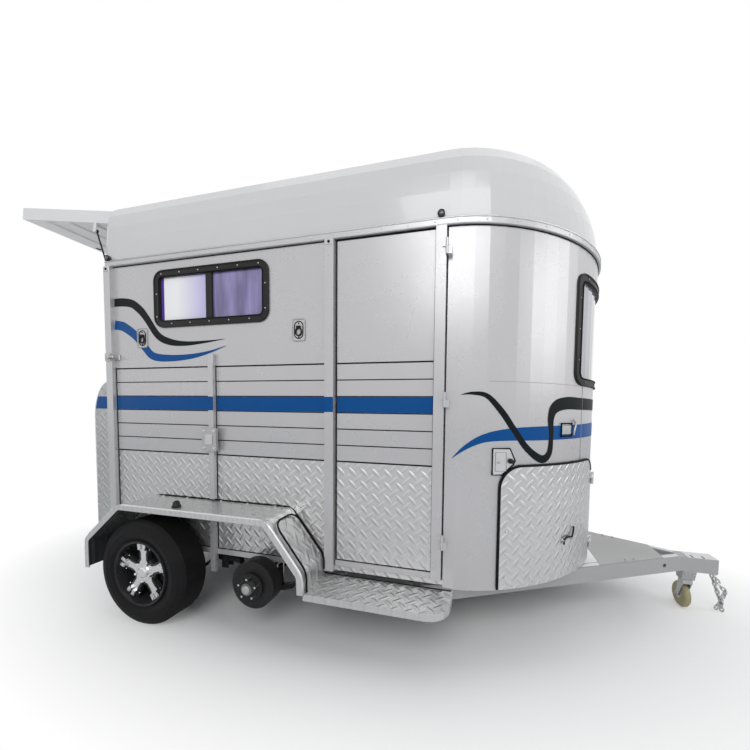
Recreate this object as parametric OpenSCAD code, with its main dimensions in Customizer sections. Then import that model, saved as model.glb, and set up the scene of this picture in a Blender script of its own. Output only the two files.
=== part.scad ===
// Tandem horse trailer: a hollow panelled body with a round nose and a moulded roof,
// on a leaf sprung chassis with a drawn-in drawbar.
// X points forward to the drawbar, Y to the left, Z up, and the ground is Z 0.
// In the modules, x is measured forward from the rear face of the body.

/* [Body] */
// Width over the outside skins
body_w = 1760; // [1680:10:1840]
// Length of the flat sides, from the rear face to the start of the nose
side_len = 2390; // [2340:10:2600]
// Length of the round nose
nose_len = 950; // [800:10:1050]
// Power of the nose's plan curve: 2 is an ellipse, less is more pointed
nose_pow = 1.8; // [1.7:0.1:2.2]
// Thickness of walls, doors and hatches
wall_t = 40; // [36:1:44]
// Underside of the side walls above the ground
sill_z = 410; // [405:1:416]
// Top of the side walls above the ground
wall_top_z = 2337; // [2280:5:2400]
// Width of the proud posts
post_w = 56; // [48:2:60]
// How far the posts stand proud of the skin
post_out = 25; // [15:1:30]
// Width of the short middle post
thin_post_w = 38; // [30:2:44]

/* [Plank belt] */
// Underside of the lowest plank above the ground
belt_z = 1066; // [1040:2:1090]
// Height of one plank
plank_h = 95; // [88:1:98]
// Depth of the grooves between the planks
groove_d = 4; // [2:1:6]

/* [Roof] */
// Height of the gutter rail under the roof shell
gutter_h = 40; // [30:2:50]
// How far the gutter rail stands out of the skin
gutter_out = 14; // [8:1:18]
// Height of the roof shell over the gutter rail
roof_h = 475; // [450:5:500]
// Thickness of the roof shell
roof_t = 20; // [15:1:24]

/* [Side window] */
// Length of the side window over its frame
window_w = 884; // [840:2:920]
// Height of the side window over its frame
window_h = 375; // [340:5:400]
// Middle of the side window, from the rear face
window_x = 863; // [840:1:880]
// Middle of the side window above the ground
window_z = 2089; // [2075:1:2100]
// Width of the window rims seen from outside
window_rim = 46; // [42:1:50]

/* [Nose window] */
// Width of the nose window over its frame
nose_window_w = 1080; // [1000:10:1120]
// Height of the nose window over its frame
nose_window_h = 660; // [600:10:680]
// Middle of the nose window above the ground
nose_window_z = 1864; // [1850:2:1880]

/* [Door and hatches] */
// Clear gap round doors and hatches
door_gap = 4; // [3:1:5]
// Width of the side door
door_w = 632; // [600:2:640]
// Top of the nose hatches above the ground
hatch_top_z = 1075; // [1040:5:1090]
// Corner radius of the nose hatches
hatch_r = 120; // [90:5:140]

/* [Ramp and flap] */
// Depth of the ramp's side cheeks
ramp_depth = 155; // [130:5:170]
// Height of the closed ramp's top above the ground
ramp_top_z = 1550; // [1500:10:1600]
// Length of the rear flap
flap_len = 972; // [900:12:984]
// Half of the flap's width
flap_half = 810; // [780:5:820]
// How far the open flap rises towards its outer end, in degrees
flap_tilt = 9; // [6:1:11]
// Height of the flap's upturned edge
flap_lip = 85; // [70:1:95]

/* [Running gear] */
// Outside diameter of a tyre
tyre_d = 668; // [650:2:680]
// Width of a tyre
tyre_w = 205; // [190:5:210]
// Diameter of the wheel rim inside the tyre
rim_d = 410; // [400:2:420]
// Distance between the two axles
axle_gap = 760; // [740:5:780]
// Middle between the axles, from the rear face
axle_mid_x = 915; // [910:1:920]
// Distance between the outside faces of the tyres
track_out = 2234; // [2224:2:2244]
// Diameter of the brake drums
drum_d = 280; // [260:5:290]
// Diameter of the circle of wheel studs
stud_pcd = 114.3; // [108:0.1:120]

/* [Fenders and steps] */
// Top of the fenders above the ground
fender_z = 765; // [755:5:790]
// Distance between the outside edges of the fenders
fender_out = 2270; // [2260:2:2290]
// Thickness of the fender plate
fender_t = 5; // [4:1:6]
// Top of the running steps above the ground
step_z = 386; // [376:1:390]

/* [Drawbar] */
// Length of the drawbar in front of the nose
drawbar_len = 820; // [780:10:860]
// Height of the drawbar rails
rail_h = 100; // [90:2:100]
// Width of the drawbar rails
rail_w = 50; // [40:2:60]
// Width of the tongue tube
tongue_w = 100; // [90:2:110]
// Wall of the tongue tube
tongue_wall = 6; // [4:1:8]
// Distance between the two bolt holes for the coupling
coupling_pitch = 60; // [50:2:70]
// Diameter of the bolt holes for the coupling
coupling_bolt_d = 14; // [12:0.5:16]
// Diameter of the castor wheel under the tongue
castor_d = 170; // [160:2:180]

/* [Hidden] */
$fn = 48;

// Colours
silver = [0.66, 0.67, 0.69];
roof_white = [0.95, 0.95, 0.95];
plate_silver = [0.74, 0.74, 0.75];
steel_black = [0.07, 0.07, 0.08];
rubber_black = [0.05, 0.05, 0.05];
glass_blue = [0.45, 0.5, 0.7, 0.5];

// General clearances
fit = 0.3;
cut = 1;

// Body
half_w = body_w / 2;
inner_half = half_w - wall_t;
post_y = half_w + post_out;
belt_planks = 6;
belt_top_z = belt_z + belt_planks * plank_h;
groove_w = 6;
thin_post_x = axle_mid_x - thin_post_w / 2 - 30;
door_x0 = side_len - 2 * door_gap - door_w;
door_jamb_x = door_x0 - 2 * door_gap;
mid_post_x = door_jamb_x - post_w;
gutter_top_z = wall_top_z + gutter_h;
roof_top_z = gutter_top_z + roof_h;
nose_steps = 18;

// Chassis and floor: the floor lies on the rails
drawbar_top_z = sill_z - 25;
floor_z = sill_z + 30;
floor_t = 30;
floor_top_z = floor_z + floor_t;
nose_z = drawbar_top_z + 5;
cross_w = 50;
cross_xs = [wall_t, 400, 1200, 1740, side_len - cross_w];

// Overall reach, which puts the origin under the middle of the box
flap_hinge_x = -15;
flap_hinge_z = gutter_top_z + 303;
flap_end_x = flap_hinge_x - flap_len * cos(flap_tilt);
tongue_end_x = side_len + nose_len + drawbar_len;
chain_out = 90;
rear_x = -(flap_end_x + tongue_end_x + chain_out) / 2;

// Points on a straight or round outline

function unit(v) = v / norm(v);

function left_normal(a, b) = let (u = unit(b - a)) [-u[1], u[0]];

// An open path moved sideways by d, with mitred corners
function shifted(pts, d) = [
    for (i = [0:len(pts) - 1])
        let (
            last = len(pts) - 1,
            before = i > 0 ? left_normal(pts[i - 1], pts[i]) : left_normal(pts[0], pts[1]),
            after = i < last ? left_normal(pts[i], pts[i + 1]) : before,
            mitre = unit(before + after)
        )
        pts[i] + mitre * d / (mitre * before)
];

function reversed(pts) = [for (i = [len(pts) - 1:-1:0]) pts[i]];

// The points of one rounded corner b between a and c
function corner(a, b, c, r, n = 5) =
    let (
        u = unit(a - b),
        v = unit(c - b),
        half = acos(u * v) / 2,
        mid = b + unit(u + v) * r / sin(half),
        turn = 180 - 2 * half,
        p = unit(b + u * r / tan(half) - mid),
        q = unit(b + v * r / tan(half) - mid)
    )
    [for (i = [0:n]) mid + r * (p * sin(turn * (1 - i / n)) + q * sin(turn * i / n)) / sin(turn)];

// An open path with its inner corners rounded
function rounded_path(pts, r) = concat(
    [pts[0]],
    [for (i = [1:len(pts) - 2]) each corner(pts[i - 1], pts[i], pts[i + 1], r)],
    [pts[len(pts) - 1]]
);

// The curved edge of the nose in plan, from the right skin round to the left skin,
// with its front drawn back
function nose_edge(out, back = 0) =
    let (a = nose_len + out - back, b = half_w + out)
    [for (i = [-nose_steps:nose_steps])
        let (t = 90 * i / nose_steps)
        [side_len + a * pow(cos(t), 2 / nose_pow), b * sign(t) * pow(abs(sin(t)), 2 / nose_pow)]];

// The whole plan of the body, from x0 forward
function body_edge(out, x0, back = 0) = concat(
    [[x0, half_w + out], [x0, -half_w - out]],
    nose_edge(out, back)
);

// A plate of thickness t along an open path
module strip(pts, t) polygon(concat(pts, reversed(shifted(pts, t))));

module rounded_rect(w, h, r) {
    square([w, h - 2 * r], center = true);
    square([w - 2 * r, h], center = true);
    for (sx = [-1, 1], sy = [-1, 1])
        translate([sx * (w / 2 - r), sy * (h / 2 - r)]) circle(r);
}

module rect_ring(w, h, r, rim) {
    difference() {
        rounded_rect(w, h, r);
        rounded_rect(w - 2 * rim, h - 2 * rim, r - rim);
    }
}

// Moves the x of a module from the rear face to the origin's frame
module from_rear() translate([rear_x, 0, 0]) children();

// Pushes a (y, z) section along x
module along_x(x0, x1) translate([x0, 0, 0]) rotate([90, 0, 90]) linear_extrude(x1 - x0) children();

// Pushes an (x, z) outline along y
module along_y(y0, y1) translate([0, y1, 0]) rotate([90, 0, 0]) linear_extrude(y1 - y0) children();

module along_z(z0, z1) translate([0, 0, z0]) linear_extrude(z1 - z0) children();

module block(x, y, z) translate([x[0], y[0], z[0]]) cube([x[1] - x[0], y[1] - y[0], z[1] - z[0]]);

module both_sides() {
    children();
    mirror([0, 1, 0]) children();
}

// Chassis: side rails and cross members under the floor
module chassis() {
    color(steel_black) from_rear() {
        both_sides() block([wall_t, side_len], [-inner_half, -inner_half + cross_w], [drawbar_top_z, floor_z]);
        for (x = cross_xs)
            block([x, x + cross_w], [-inner_half + cross_w, inner_half - cross_w], [drawbar_top_z, floor_z]);
    }
}

// Drawbar: two rails that run together under the nose into the tongue
rail_start_x = side_len - 110;
tongue_x0 = tongue_end_x - 240;
drawbar_bottom_z = drawbar_top_z - rail_h;
coupling_x = tongue_end_x - 145;
rail_hole_x = tongue_end_x - 345;
rail_hole_d = 26;
deck_t = 4;

module drawbar() {
    rail_line = [[rail_start_x, -half_w + 7], [tongue_x0 + 20, -tongue_w / 2]];
    color(silver) from_rear() difference() {
        union() {
            both_sides() along_z(drawbar_bottom_z, drawbar_top_z) strip(rail_line, rail_w);
            along_x(tongue_x0, tongue_end_x)
                translate([-tongue_w / 2, drawbar_bottom_z]) square([tongue_w, rail_h]);
            along_z(drawbar_top_z, drawbar_top_z + deck_t) polygon([
                for (x = [side_len + nose_len + 7, tongue_x0 - 110]) [x, rail_y(x) + 6],
                for (x = [tongue_x0 - 110, side_len + nose_len + 7]) [x, -rail_y(x) - 6]
            ]);
        }
        along_x(tongue_x0 + 60, tongue_end_x + cut)
            translate([-tongue_w / 2 + tongue_wall, drawbar_bottom_z + tongue_wall])
                square([tongue_w, rail_h] - 2 * [tongue_wall, tongue_wall]);
        for (s = [-1, 1])
            translate([coupling_x + s * coupling_pitch / 2, 0, drawbar_top_z - tongue_wall - cut])
                cylinder(d = coupling_bolt_d, h = tongue_wall + 2 * cut);
        lying_pin(rail_hole_x, (drawbar_top_z + drawbar_bottom_z) / 2, -half_w, half_w, rail_hole_d);
    }
}

// Outside edge of the right drawbar rail at x
function rail_y(x) = -half_w + 7
    + (half_w - 7 - tongue_w / 2) * (x - rail_start_x) / (tongue_x0 + 20 - rail_start_x);

module floor() {
    color([0.3, 0.3, 0.3]) from_rear() along_z(floor_z, floor_top_z)
        polygon(body_edge(-wall_t, 0));
}

// Section of a side wall or door with its plank grooves, for the right side
function wall_section(z0, z1, inside = inner_half) = concat(
    [[-inside, z1], [-inside, z0], [-half_w, z0]],
    [for (i = [0:belt_planks]) each
        let (z = belt_z + i * plank_h, h = groove_w / 2)
        [[-half_w, z - h], [-half_w + groove_d, z - h], [-half_w + groove_d, z + h], [-half_w, z + h]]],
    [[-half_w, z1]]
);

module post(x, w, z0, z1) block([x, x + w], [-post_y, -half_w], [z0, z1]);

window_open_w = window_w - 34;
window_open_h = window_h - 34;
window_r = 72;

// Rails along the feet of the walls and the door
foot_rail_h = 34;
foot_rail_out = 6;

module foot_rail(x0, x1, z0) block([x0, x1], [-half_w - foot_rail_out, -half_w], [z0, z0 + foot_rail_h]);

module side_window_place() translate([window_x, window_z]) children();

module wall_right() {
    color(silver) from_rear() {
        difference() {
            along_x(post_w, door_jamb_x) polygon(wall_section(sill_z, wall_top_z));
            along_y(-half_w - cut, -inner_half + cut)
                side_window_place() rounded_rect(window_open_w, window_open_h, window_r - 17);
        }
        along_x(door_jamb_x, side_len) polygon([
            [-half_w, sill_z], [-inner_half, sill_z],
            [-inner_half, floor_z - door_gap], [-half_w, floor_z - door_gap]
        ]);
        side_posts();
    }
}

// The posts of one side: the short one above and below the fender, and the full one behind the door
module side_posts() {
    post(thin_post_x, thin_post_w, fender_z + 12, belt_top_z + 24);
    post(thin_post_x, thin_post_w, drawbar_bottom_z + 13, fender_z - 12);
    post(mid_post_x, post_w, sill_z, wall_top_z);
    foot_rail(fender_x0 + fender_t + fit, fender_x1 - 3 * fender_t, sill_z);
}

module wall_left() {
    color(silver) from_rear() mirror([0, 1, 0]) {
        difference() {
            along_x(post_w, side_len) polygon(wall_section(sill_z, wall_top_z));
            along_y(-half_w - cut, -inner_half + cut)
                side_window_place() rounded_rect(window_open_w, window_open_h, window_r - 17);
        }
        side_posts();
        post(side_len - 2 * door_gap - post_w, post_w, sill_z, wall_top_z);
    }
}

// A band that follows the nose, from out to in, measured outward from the skin
module nose_band(out, in, z0, z1) {
    along_z(z0, z1) difference() {
        polygon(nose_edge(out));
        polygon(concat(nose_edge(in), [[side_len - cut, half_w + in], [side_len - cut, -half_w - in]]));
    }
}

// Points on the right half of the nose and the direction that the skin faces there
function nose_x(y) = side_len + nose_len * pow(1 - pow(y / half_w, nose_pow), 1 / nose_pow);

function nose_y(x) = half_w * pow(1 - pow((x - side_len) / nose_len, nose_pow), 1 / nose_pow);

function nose_normal(p) = unit([
    pow((p[0] - side_len) / nose_len, nose_pow - 1) / nose_len,
    -pow(-p[1] / half_w, nose_pow - 1) / half_w
]);

hatch_front_y = 260;
hatch_rear = [side_len + 288, -nose_y(side_len + 288)];
hatch_front = [nose_x(hatch_front_y), -hatch_front_y];
hatch_dir = atan2(hatch_front[1] - hatch_rear[1], hatch_front[0] - hatch_rear[0]);
hatch_w = norm(hatch_front - hatch_rear);
hatch_z0 = nose_z + 8;
hatch_proud = 12;

// Outline of a nose hatch pushed through the nose, square to its chord
module hatch_prism(grow, below) {
    mid = (hatch_rear + hatch_front) / 2;
    translate([mid[0], mid[1], 0]) rotate([0, 0, hatch_dir]) along_y(-400, 300) {
        translate([-hatch_w / 2 - grow, hatch_z0 - below])
            square([hatch_w + 2 * grow, hatch_top_z - hatch_r - hatch_z0 + below]);
        translate([0, hatch_top_z - hatch_r]) rounded_rect(hatch_w + 2 * grow, 2 * (hatch_r + grow), hatch_r + grow - cut);
    }
}

module nose() {
    color(silver) from_rear() {
        difference() {
            nose_band(0, -wall_t, nose_z, wall_top_z);
            along_x(side_len + 200, side_len + nose_len + cut)
                translate([0, nose_window_z]) rounded_rect(nose_window_w - 34, nose_window_h - 34, window_r - 17);
            both_sides() hatch_prism(door_gap, 3 * hatch_r);
        }
        both_sides() hatch_hinge_place() fixed_hinges(hatch_hinge_zs, [0, 26], [0, hatch_hinge_out + 3]);
        door_hinge_place() fixed_hinges(door_hinge_zs, [4, 26], [0, post_out + 12]);
    }
}

// Hinges turn on pins that stand on their fixed knuckles
pin_d = 8;
knuckle_d = 16;
knuckle_h = 40;
pin_play = 0.08;
door_hinge_zs = [floor_z + 180, (floor_z + wall_top_z) / 2, wall_top_z - 157];
hatch_hinge_zs = [hatch_z0 + 72, hatch_top_z - 175];
door_hinge = [side_len - door_gap, -post_y - knuckle_d / 2];
hatch_hinge_out = hatch_proud + knuckle_d / 2 + 1;
hatch_face = nose_normal(hatch_front);
hatch_hinge = hatch_front + hatch_face * hatch_hinge_out + [-hatch_face[1], hatch_face[0]] * door_gap / 2;

module door_hinge_place() translate([door_hinge[0], door_hinge[1], 0]) children();

module hatch_hinge_place()
    translate([hatch_hinge[0], hatch_hinge[1], 0]) rotate([0, 0, 90 + atan2(hatch_face[1], hatch_face[0])]) children();

// The fixed half of each hinge, with its leaf over leaf_x by leaf_y beside the pin
module fixed_hinges(zs, leaf_x, leaf_y) {
    for (z = zs) {
        block(leaf_x, leaf_y, [z, z + knuckle_h]);
        translate([0, 0, z]) cylinder(d = knuckle_d, h = knuckle_h);
        translate([0, 0, z]) cylinder(d = pin_d, h = 2 * knuckle_h);
    }
}

// The moving half, which sits on the fixed one
module moving_hinges(zs, leaf_x, leaf_y) {
    for (z = zs) difference() {
        union() {
            block(leaf_x, leaf_y, [z + knuckle_h + fit, z + 2 * knuckle_h]);
            translate([0, 0, z + knuckle_h + fit]) cylinder(d = knuckle_d, h = knuckle_h - fit);
        }
        translate([0, 0, z]) cylinder(d = pin_d + 2 * pin_play, h = 3 * knuckle_h);
    }
}

module side_door() {
    x1 = door_x0 + door_w;
    color(silver) from_rear() {
        along_x(door_x0, x1) polygon(wall_section(floor_z, wall_top_z - door_gap, inner_half + 6));
        post(x1 - post_w, post_w, floor_z, wall_top_z - door_gap);
        foot_rail(door_x0, x1 - post_w, floor_z);
        door_hinge_place() moving_hinges(door_hinge_zs, [-24, 0], [2, knuckle_d / 2 + 2]);
    }
}

module hatch() {
    color(plate_silver) {
        intersection() {
            nose_band(hatch_proud, hatch_proud - wall_t, hatch_z0, hatch_top_z + 5);
            hatch_prism(0, 0);
        }
        hatch_hinge_place() moving_hinges(hatch_hinge_zs, [-26, 0], [2, knuckle_d / 2 + 4]);
    }
}

module hatch_right() from_rear() hatch();

module hatch_left() from_rear() mirror([0, 1, 0]) hatch();

// Roof shell: levels of the outside, each
// [height over the gutter as a share, inset of the sides, how far the front draws back beyond that]
roof_levels = [
    [0, 0, 0], [0.3, 2, 22], [0.5, 8, 48], [0.68, 25, 76], [0.82, 58, 92],
    [0.92, 120, 92], [0.975, 220, 60], [1, 420, 0]
];

module roof_mass(out, rise, x0) {
    hull() for (level = roof_levels)
        translate([0, 0, gutter_top_z + level[0] * (roof_h + rise)])
            linear_extrude(0.01) polygon(body_edge(out - level[1], x0, level[2]));
}

module roof() {
    color(roof_white) from_rear() difference() {
        roof_mass(0, 0, 0);
        translate([0, 0, -0.02]) roof_mass(-roof_t, -roof_t, -cut);
    }
}

module gutter() {
    color([0.8, 0.8, 0.8]) from_rear() difference() {
        along_z(wall_top_z, gutter_top_z) polygon(body_edge(gutter_out, 0));
        along_z(wall_top_z - cut, gutter_top_z + cut) polygon(body_edge(-wall_t, -cut));
    }
}

// Rear frame: two corner posts, the sill and the arch that closes the roof over the opening
strut_foot_x = 20;
strut_foot_z = flap_hinge_z - 690;
strut_y = inner_half - 45;
strut_pin_d = 10;
ramp_gap = 8;
ramp_hinge_x = -12;
ramp_hinge_z = drawbar_top_z - 25;
ramp_hinge_ys = [-640, 0, 640];
flap_hinge_ys = [-600, 0, 600];

module lying_pin(x, z, y0, y1, d) translate([x, y1, z]) rotate([90, 0, 0]) cylinder(d = d, h = y1 - y0);

// The fixed half of a hinge that lies along y, from y to y + knuckle_h, with its pin
module lying_fixed(x, z, y) {
    lying_pin(x, z, y, y + knuckle_h, knuckle_d);
    lying_pin(x, z, y, y + 2 * knuckle_h, pin_d);
}

module lying_moving(x, z, y, leaf_x, leaf_z) {
    difference() {
        union() {
            lying_pin(x, z, y + knuckle_h + fit, y + 2 * knuckle_h, knuckle_d);
            block(leaf_x, [y + knuckle_h + fit, y + 2 * knuckle_h], leaf_z);
        }
        lying_pin(x, z, y - cut, y + 3 * knuckle_h, pin_d + 2 * pin_play);
    }
}

module rear_frame() {
    arch_z = flap_hinge_z - 40;
    color(silver) from_rear() {
        both_sides() block([0, post_w], [-post_y, -inner_half], [sill_z, wall_top_z]);
        block([0, wall_t], [-inner_half, inner_half], [drawbar_top_z, floor_z]);
        intersection() {
            block([0, wall_t], [-half_w, half_w], [arch_z, roof_top_z]);
            translate([0, 0, -0.02]) roof_mass(-roof_t - fit, -roof_t - fit, -cut);
        }
        for (y = flap_hinge_ys) {
            lying_fixed(flap_hinge_x, flap_hinge_z, y);
            block([flap_hinge_x, cut], [y, y + knuckle_h], [flap_hinge_z - 8, flap_hinge_z + 8]);
        }
        for (y = ramp_hinge_ys) {
            lying_fixed(ramp_hinge_x, ramp_hinge_z, y);
            block([ramp_hinge_x, -ramp_hinge_x], [y, y + knuckle_h], [ramp_hinge_z - 8, drawbar_top_z + cut]);
        }
        both_sides() lying_pin(strut_foot_x, strut_foot_z, -inner_half - cut, -strut_y + 8, strut_pin_d);
    }
}

// Windows
hole_w = window_w - 2 * window_rim;
hole_h = window_h - 2 * window_rim;
mullion_w = 47;

module side_window_frames() {
    color(steel_black) from_rear() both_sides() {
        along_y(-half_w - 8, -half_w) side_window_place() rect_ring(window_w, window_h, window_r, window_rim);
        along_y(-half_w, -inner_half - 5) side_window_place() difference() {
            rounded_rect(window_open_w - 2 * fit, window_open_h - 2 * fit, window_r - 17);
            rounded_rect(hole_w, hole_h, window_r - window_rim);
        }
        along_y(-half_w - 4, -inner_half - 5) side_window_place()
            square([mullion_w, hole_h + 2], center = true);
    }
}

module side_window_glass() {
    pane_w = (hole_w - mullion_w) / 2 - 2 * fit;
    color(glass_blue) from_rear() both_sides() along_y(-half_w + 8, -half_w + 12) side_window_place()
        for (s = [-1, 1]) intersection() {
            rounded_rect(hole_w - 2 * fit, hole_h - 2 * fit, window_r - window_rim);
            translate([s * (mullion_w / 2 + fit + pane_w / 2), 0]) square([pane_w, hole_h], center = true);
        }
}

nose_hole_w = nose_window_w - 2 * window_rim;
nose_hole_h = nose_window_h - 2 * window_rim;
nose_window_z0 = nose_window_z - nose_window_h / 2;
nose_window_z1 = nose_window_z + nose_window_h / 2;

module nose_window_place()
    along_x(side_len + 200, side_len + nose_len + 2 * hatch_proud) translate([0, nose_window_z]) children();

module nose_window_frame() {
    color(steel_black) from_rear() {
        intersection() {
            nose_band(8, 0, nose_window_z0 - cut, nose_window_z1 + cut);
            nose_window_place() rect_ring(nose_window_w, nose_window_h, window_r, window_rim);
        }
        intersection() {
            nose_band(0, 5 - wall_t, nose_window_z0 - cut, nose_window_z1 + cut);
            nose_window_place() difference() {
                rounded_rect(nose_window_w - 34 - 2 * fit, nose_window_h - 34 - 2 * fit, window_r - 17);
                rounded_rect(nose_hole_w, nose_hole_h, window_r - window_rim);
            }
        }
    }
}

module nose_window_glass() {
    color(glass_blue) from_rear() intersection() {
        nose_band(-8, -13, nose_window_z0, nose_window_z1);
        nose_window_place() rounded_rect(nose_hole_w - 2 * fit, nose_hole_h - 2 * fit, window_r - window_rim);
    }
}

// Fenders: one bent plate over both wheels, with a skirt along its outside edge
fender_half = fender_out / 2;
fender_x0 = axle_mid_x - 790;
fender_x1 = axle_mid_x + 766;
fender_drop_z = 338;
fender_skirt = 30;
fender_line = rounded_path([
    [fender_x0, fender_drop_z], [fender_x0, fender_z - 238], [fender_x0 + 278, fender_z],
    [fender_x1 - 223, fender_z], [fender_x1 - 5, fender_z - 277], [fender_x1, step_z + fit]
], 60);

module fender() {
    color(plate_silver) {
        along_y(-fender_half, -half_w) strip(fender_line, -fender_t);
        along_y(-fender_half, -fender_half + fender_t) strip(fender_line, -fender_skirt);
    }
}

module fender_right() from_rear() fender();

module fender_left() from_rear() mirror([0, 1, 0]) fender();

// Running steps: a tray in front of the fender on two arms from the chassis
step_h = 38;
step_end_x = side_len + 60;
step_inside = half_w + 5;

module step() {
    out = fender_half - 18;
    step_r = min(130, (out - step_inside) / 2);
    arm_xs = [fender_x1 + 90, side_len - 200];
    color(plate_silver) {
        difference() {
            along_z(step_z - step_h, step_z) step_plan(0);
            along_z(step_z - step_h - cut, step_z - fender_t) step_plan(fender_t);
        }
        for (x = arm_xs)
            block([x, x + 30], [-step_inside - 20, -inner_half + 40], [drawbar_top_z - 14, drawbar_top_z]);
    }
    module step_plan(inset) {
        line = rounded_path([
            [step_end_x - inset, -step_inside - inset], [step_end_x - inset, -out + inset],
            [fender_x1 - 5 + inset, -out + inset]
        ], step_r - min(inset, step_r / 2));
        polygon(concat(line, [[fender_x1 - 5 + inset, -step_inside - inset]]));
    }
}

module step_right() from_rear() step();

module step_left() from_rear() mirror([0, 1, 0]) step();

// Axles, hubs and wheels
axle_z = tyre_d / 2;
axle_d = 60;
spindle_d = 40;
wheel_y = track_out / 2 - tyre_w / 2;
axle_xs = [axle_mid_x - axle_gap / 2, axle_mid_x + axle_gap / 2];
drum_in = 58;
hub_face = 38;
hub_bore = 28;

module axles() {
    color(steel_black) from_rear() for (x = axle_xs) {
        lying_pin(x, axle_z, -wheel_y + drum_in + 2, wheel_y - drum_in - 2, axle_d);
        lying_pin(x, axle_z, -wheel_y - hub_bore + 2, wheel_y + hub_bore - 2, spindle_d);
    }
}

// Puts a wheel piece on its axle: side is -1 on the right and 1 on the left, its own z points outward
module at_wheel(x, side) from_rear() translate([x, side * wheel_y, axle_z]) rotate([-side * 90, 0, 0]) children();

module hub(bare) {
    color(steel_black) difference() {
        union() {
            translate([0, 0, -drum_in]) cylinder(d = drum_d, h = drum_in + 20);
            cylinder(d = stud_pcd + 40, h = hub_face);
            cylinder(d = 70, h = bare ? hub_face + 34 : hub_face + 10);
            if (bare) for (i = [0:4]) rotate([0, 0, 90 + i * 72])
                translate([stud_pcd / 2, 0, 0]) cylinder(d = 12, h = hub_face + 32);
        }
        translate([0, 0, -drum_in - cut]) cylinder(d = spindle_d + 2 * pin_play, h = drum_in + hub_bore + cut);
    }
}

module rim() {
    lip = rim_d / 2 - fit;
    color([0.78, 0.78, 0.8]) {
        difference() {
            translate([0, 0, -tyre_w / 2 + 22]) cylinder(r = lip, h = tyre_w - 30);
            translate([0, 0, -tyre_w / 2 + 21]) cylinder(r = lip - 12, h = tyre_w - 28);
        }
        difference() {
            translate([0, 0, hub_face]) cylinder(r = lip - 11, h = 20);
            for (i = [0:4]) rotate([0, 0, 90 + 36 + i * 72]) translate([0, 0, hub_face - cut])
                linear_extrude(22) polygon([[84, -24], [lip - 22, -68], [lip - 12, 0], [lip - 22, 68], [84, 24]]);
            translate([0, 0, hub_face - cut]) cylinder(d = 70 + 2, h = 12 + cut);
        }
        translate([0, 0, hub_face + 19]) cylinder(r = 62, h = 10);
        for (i = [0:4]) rotate([0, 0, 90 + i * 72]) {
            block([50, lip - 16], [-31, 31], [hub_face + 19, hub_face + 28]);
            for (s = [-1, 1])
                block([lip - 62, lip - 16], [s * 20 - 13, s * 20 + 13], [hub_face + 27, hub_face + 40]);
        }
    }
}

module tyre() {
    bead = rim_d / 2;
    side_rise = axle_z - 12 - bead;
    side = [for (i = [0:4]) let (s = i / 2 - 1) [bead + side_rise * i / 4, tyre_w / 2 - 22 * s * s]];
    upper = concat(side, [[axle_z, tyre_w / 2 - 36]]);
    color(rubber_black) rotate_extrude()
        polygon(concat(upper, [for (p = reversed(upper)) [p[0], -p[1]]]));
}

module hub_rear_right() at_wheel(axle_xs[0], -1) hub(false);
module hub_front_right() at_wheel(axle_xs[1], -1) hub(true);
module hub_rear_left() at_wheel(axle_xs[0], 1) hub(false);
module hub_front_left() at_wheel(axle_xs[1], 1) hub(false);
module rim_rear_right() at_wheel(axle_xs[0], -1) rim();
module rim_rear_left() at_wheel(axle_xs[0], 1) rim();
module rim_front_left() at_wheel(axle_xs[1], 1) rim();
module tyre_rear_right() at_wheel(axle_xs[0], -1) tyre();
module tyre_rear_left() at_wheel(axle_xs[0], 1) tyre();
module tyre_front_left() at_wheel(axle_xs[1], 1) tyre();

// Leaf springs under the axles, hung on plates and on a rocker between the axles
spring_half = 280;
leaf_t = 10;
leaf_halves = [spring_half, 200, 130];
eye_z = axle_z + 20;
spring_top_z = axle_z - axle_d / 2 - 78;
spring_y = inner_half - cross_w / 2;
eye_d = 32;

function leaf_line(half_len, drop) = [
    for (i = [-6:6])
        let (x = half_len * i / 6)
        [x, spring_top_z - drop + (eye_z - spring_top_z) * pow(x / spring_half, 2)]
];

module spring_pack() {
    for (i = [0:2]) along_y(-18, 18) strip(leaf_line(leaf_halves[i], i * leaf_t), -leaf_t - 0.1);
    for (s = [-1, 1]) lying_pin(s * spring_half, eye_z, -18, 18, eye_d);
    difference() {
        block([-34, 34], [-24, 24], [spring_top_z - 3 * leaf_t - 8, axle_z - 6]);
        lying_pin(0, axle_z, -30, 30, axle_d + 2 * fit);
    }
}

module hanger(x, low) {
    for (s = [-1, 1])
        block([x - 24, x + 24], [s * 22 - 3, s * 22 + 3], [low, drawbar_top_z]);
    lying_pin(x, eye_z, -25, 25, 16);
}

module springs() {
    color(steel_black) from_rear() both_sides() translate([0, -spring_y, 0]) {
        for (x = axle_xs) translate([x, 0, 0]) spring_pack();
        hanger(axle_xs[0] - spring_half, eye_z - 24);
        hanger(axle_xs[1] + spring_half, eye_z - 24);
        hanger(axle_mid_x, eye_z - 60);
        along_y(-18, 18) polygon([
            [axle_xs[0] + spring_half - 14, eye_z - 14], [axle_xs[1] - spring_half + 14, eye_z - 14],
            [axle_xs[1] - spring_half + 14, eye_z + 14], [axle_mid_x + 24, eye_z + 24],
            [axle_mid_x - 24, eye_z + 24], [axle_xs[0] + spring_half - 14, eye_z + 14]
        ]);
    }
}

// Ramp: a tray with a curved top, hinged at its foot
ramp_t = 30;
ramp_half = half_w - 4;
ramp_foot_z = ramp_hinge_z - 10;
ramp_back_x = -ramp_gap - ramp_depth;
ramp_arc_z = ramp_top_z - 260;
cleats = 6;

function ramp_arc(inset) = [
    for (i = [0:8])
        let (t = 90 * i / 8)
        [-ramp_gap - (ramp_depth - inset) * cos(t), ramp_arc_z + (ramp_top_z - ramp_arc_z - inset) * sin(t)]
];

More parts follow.
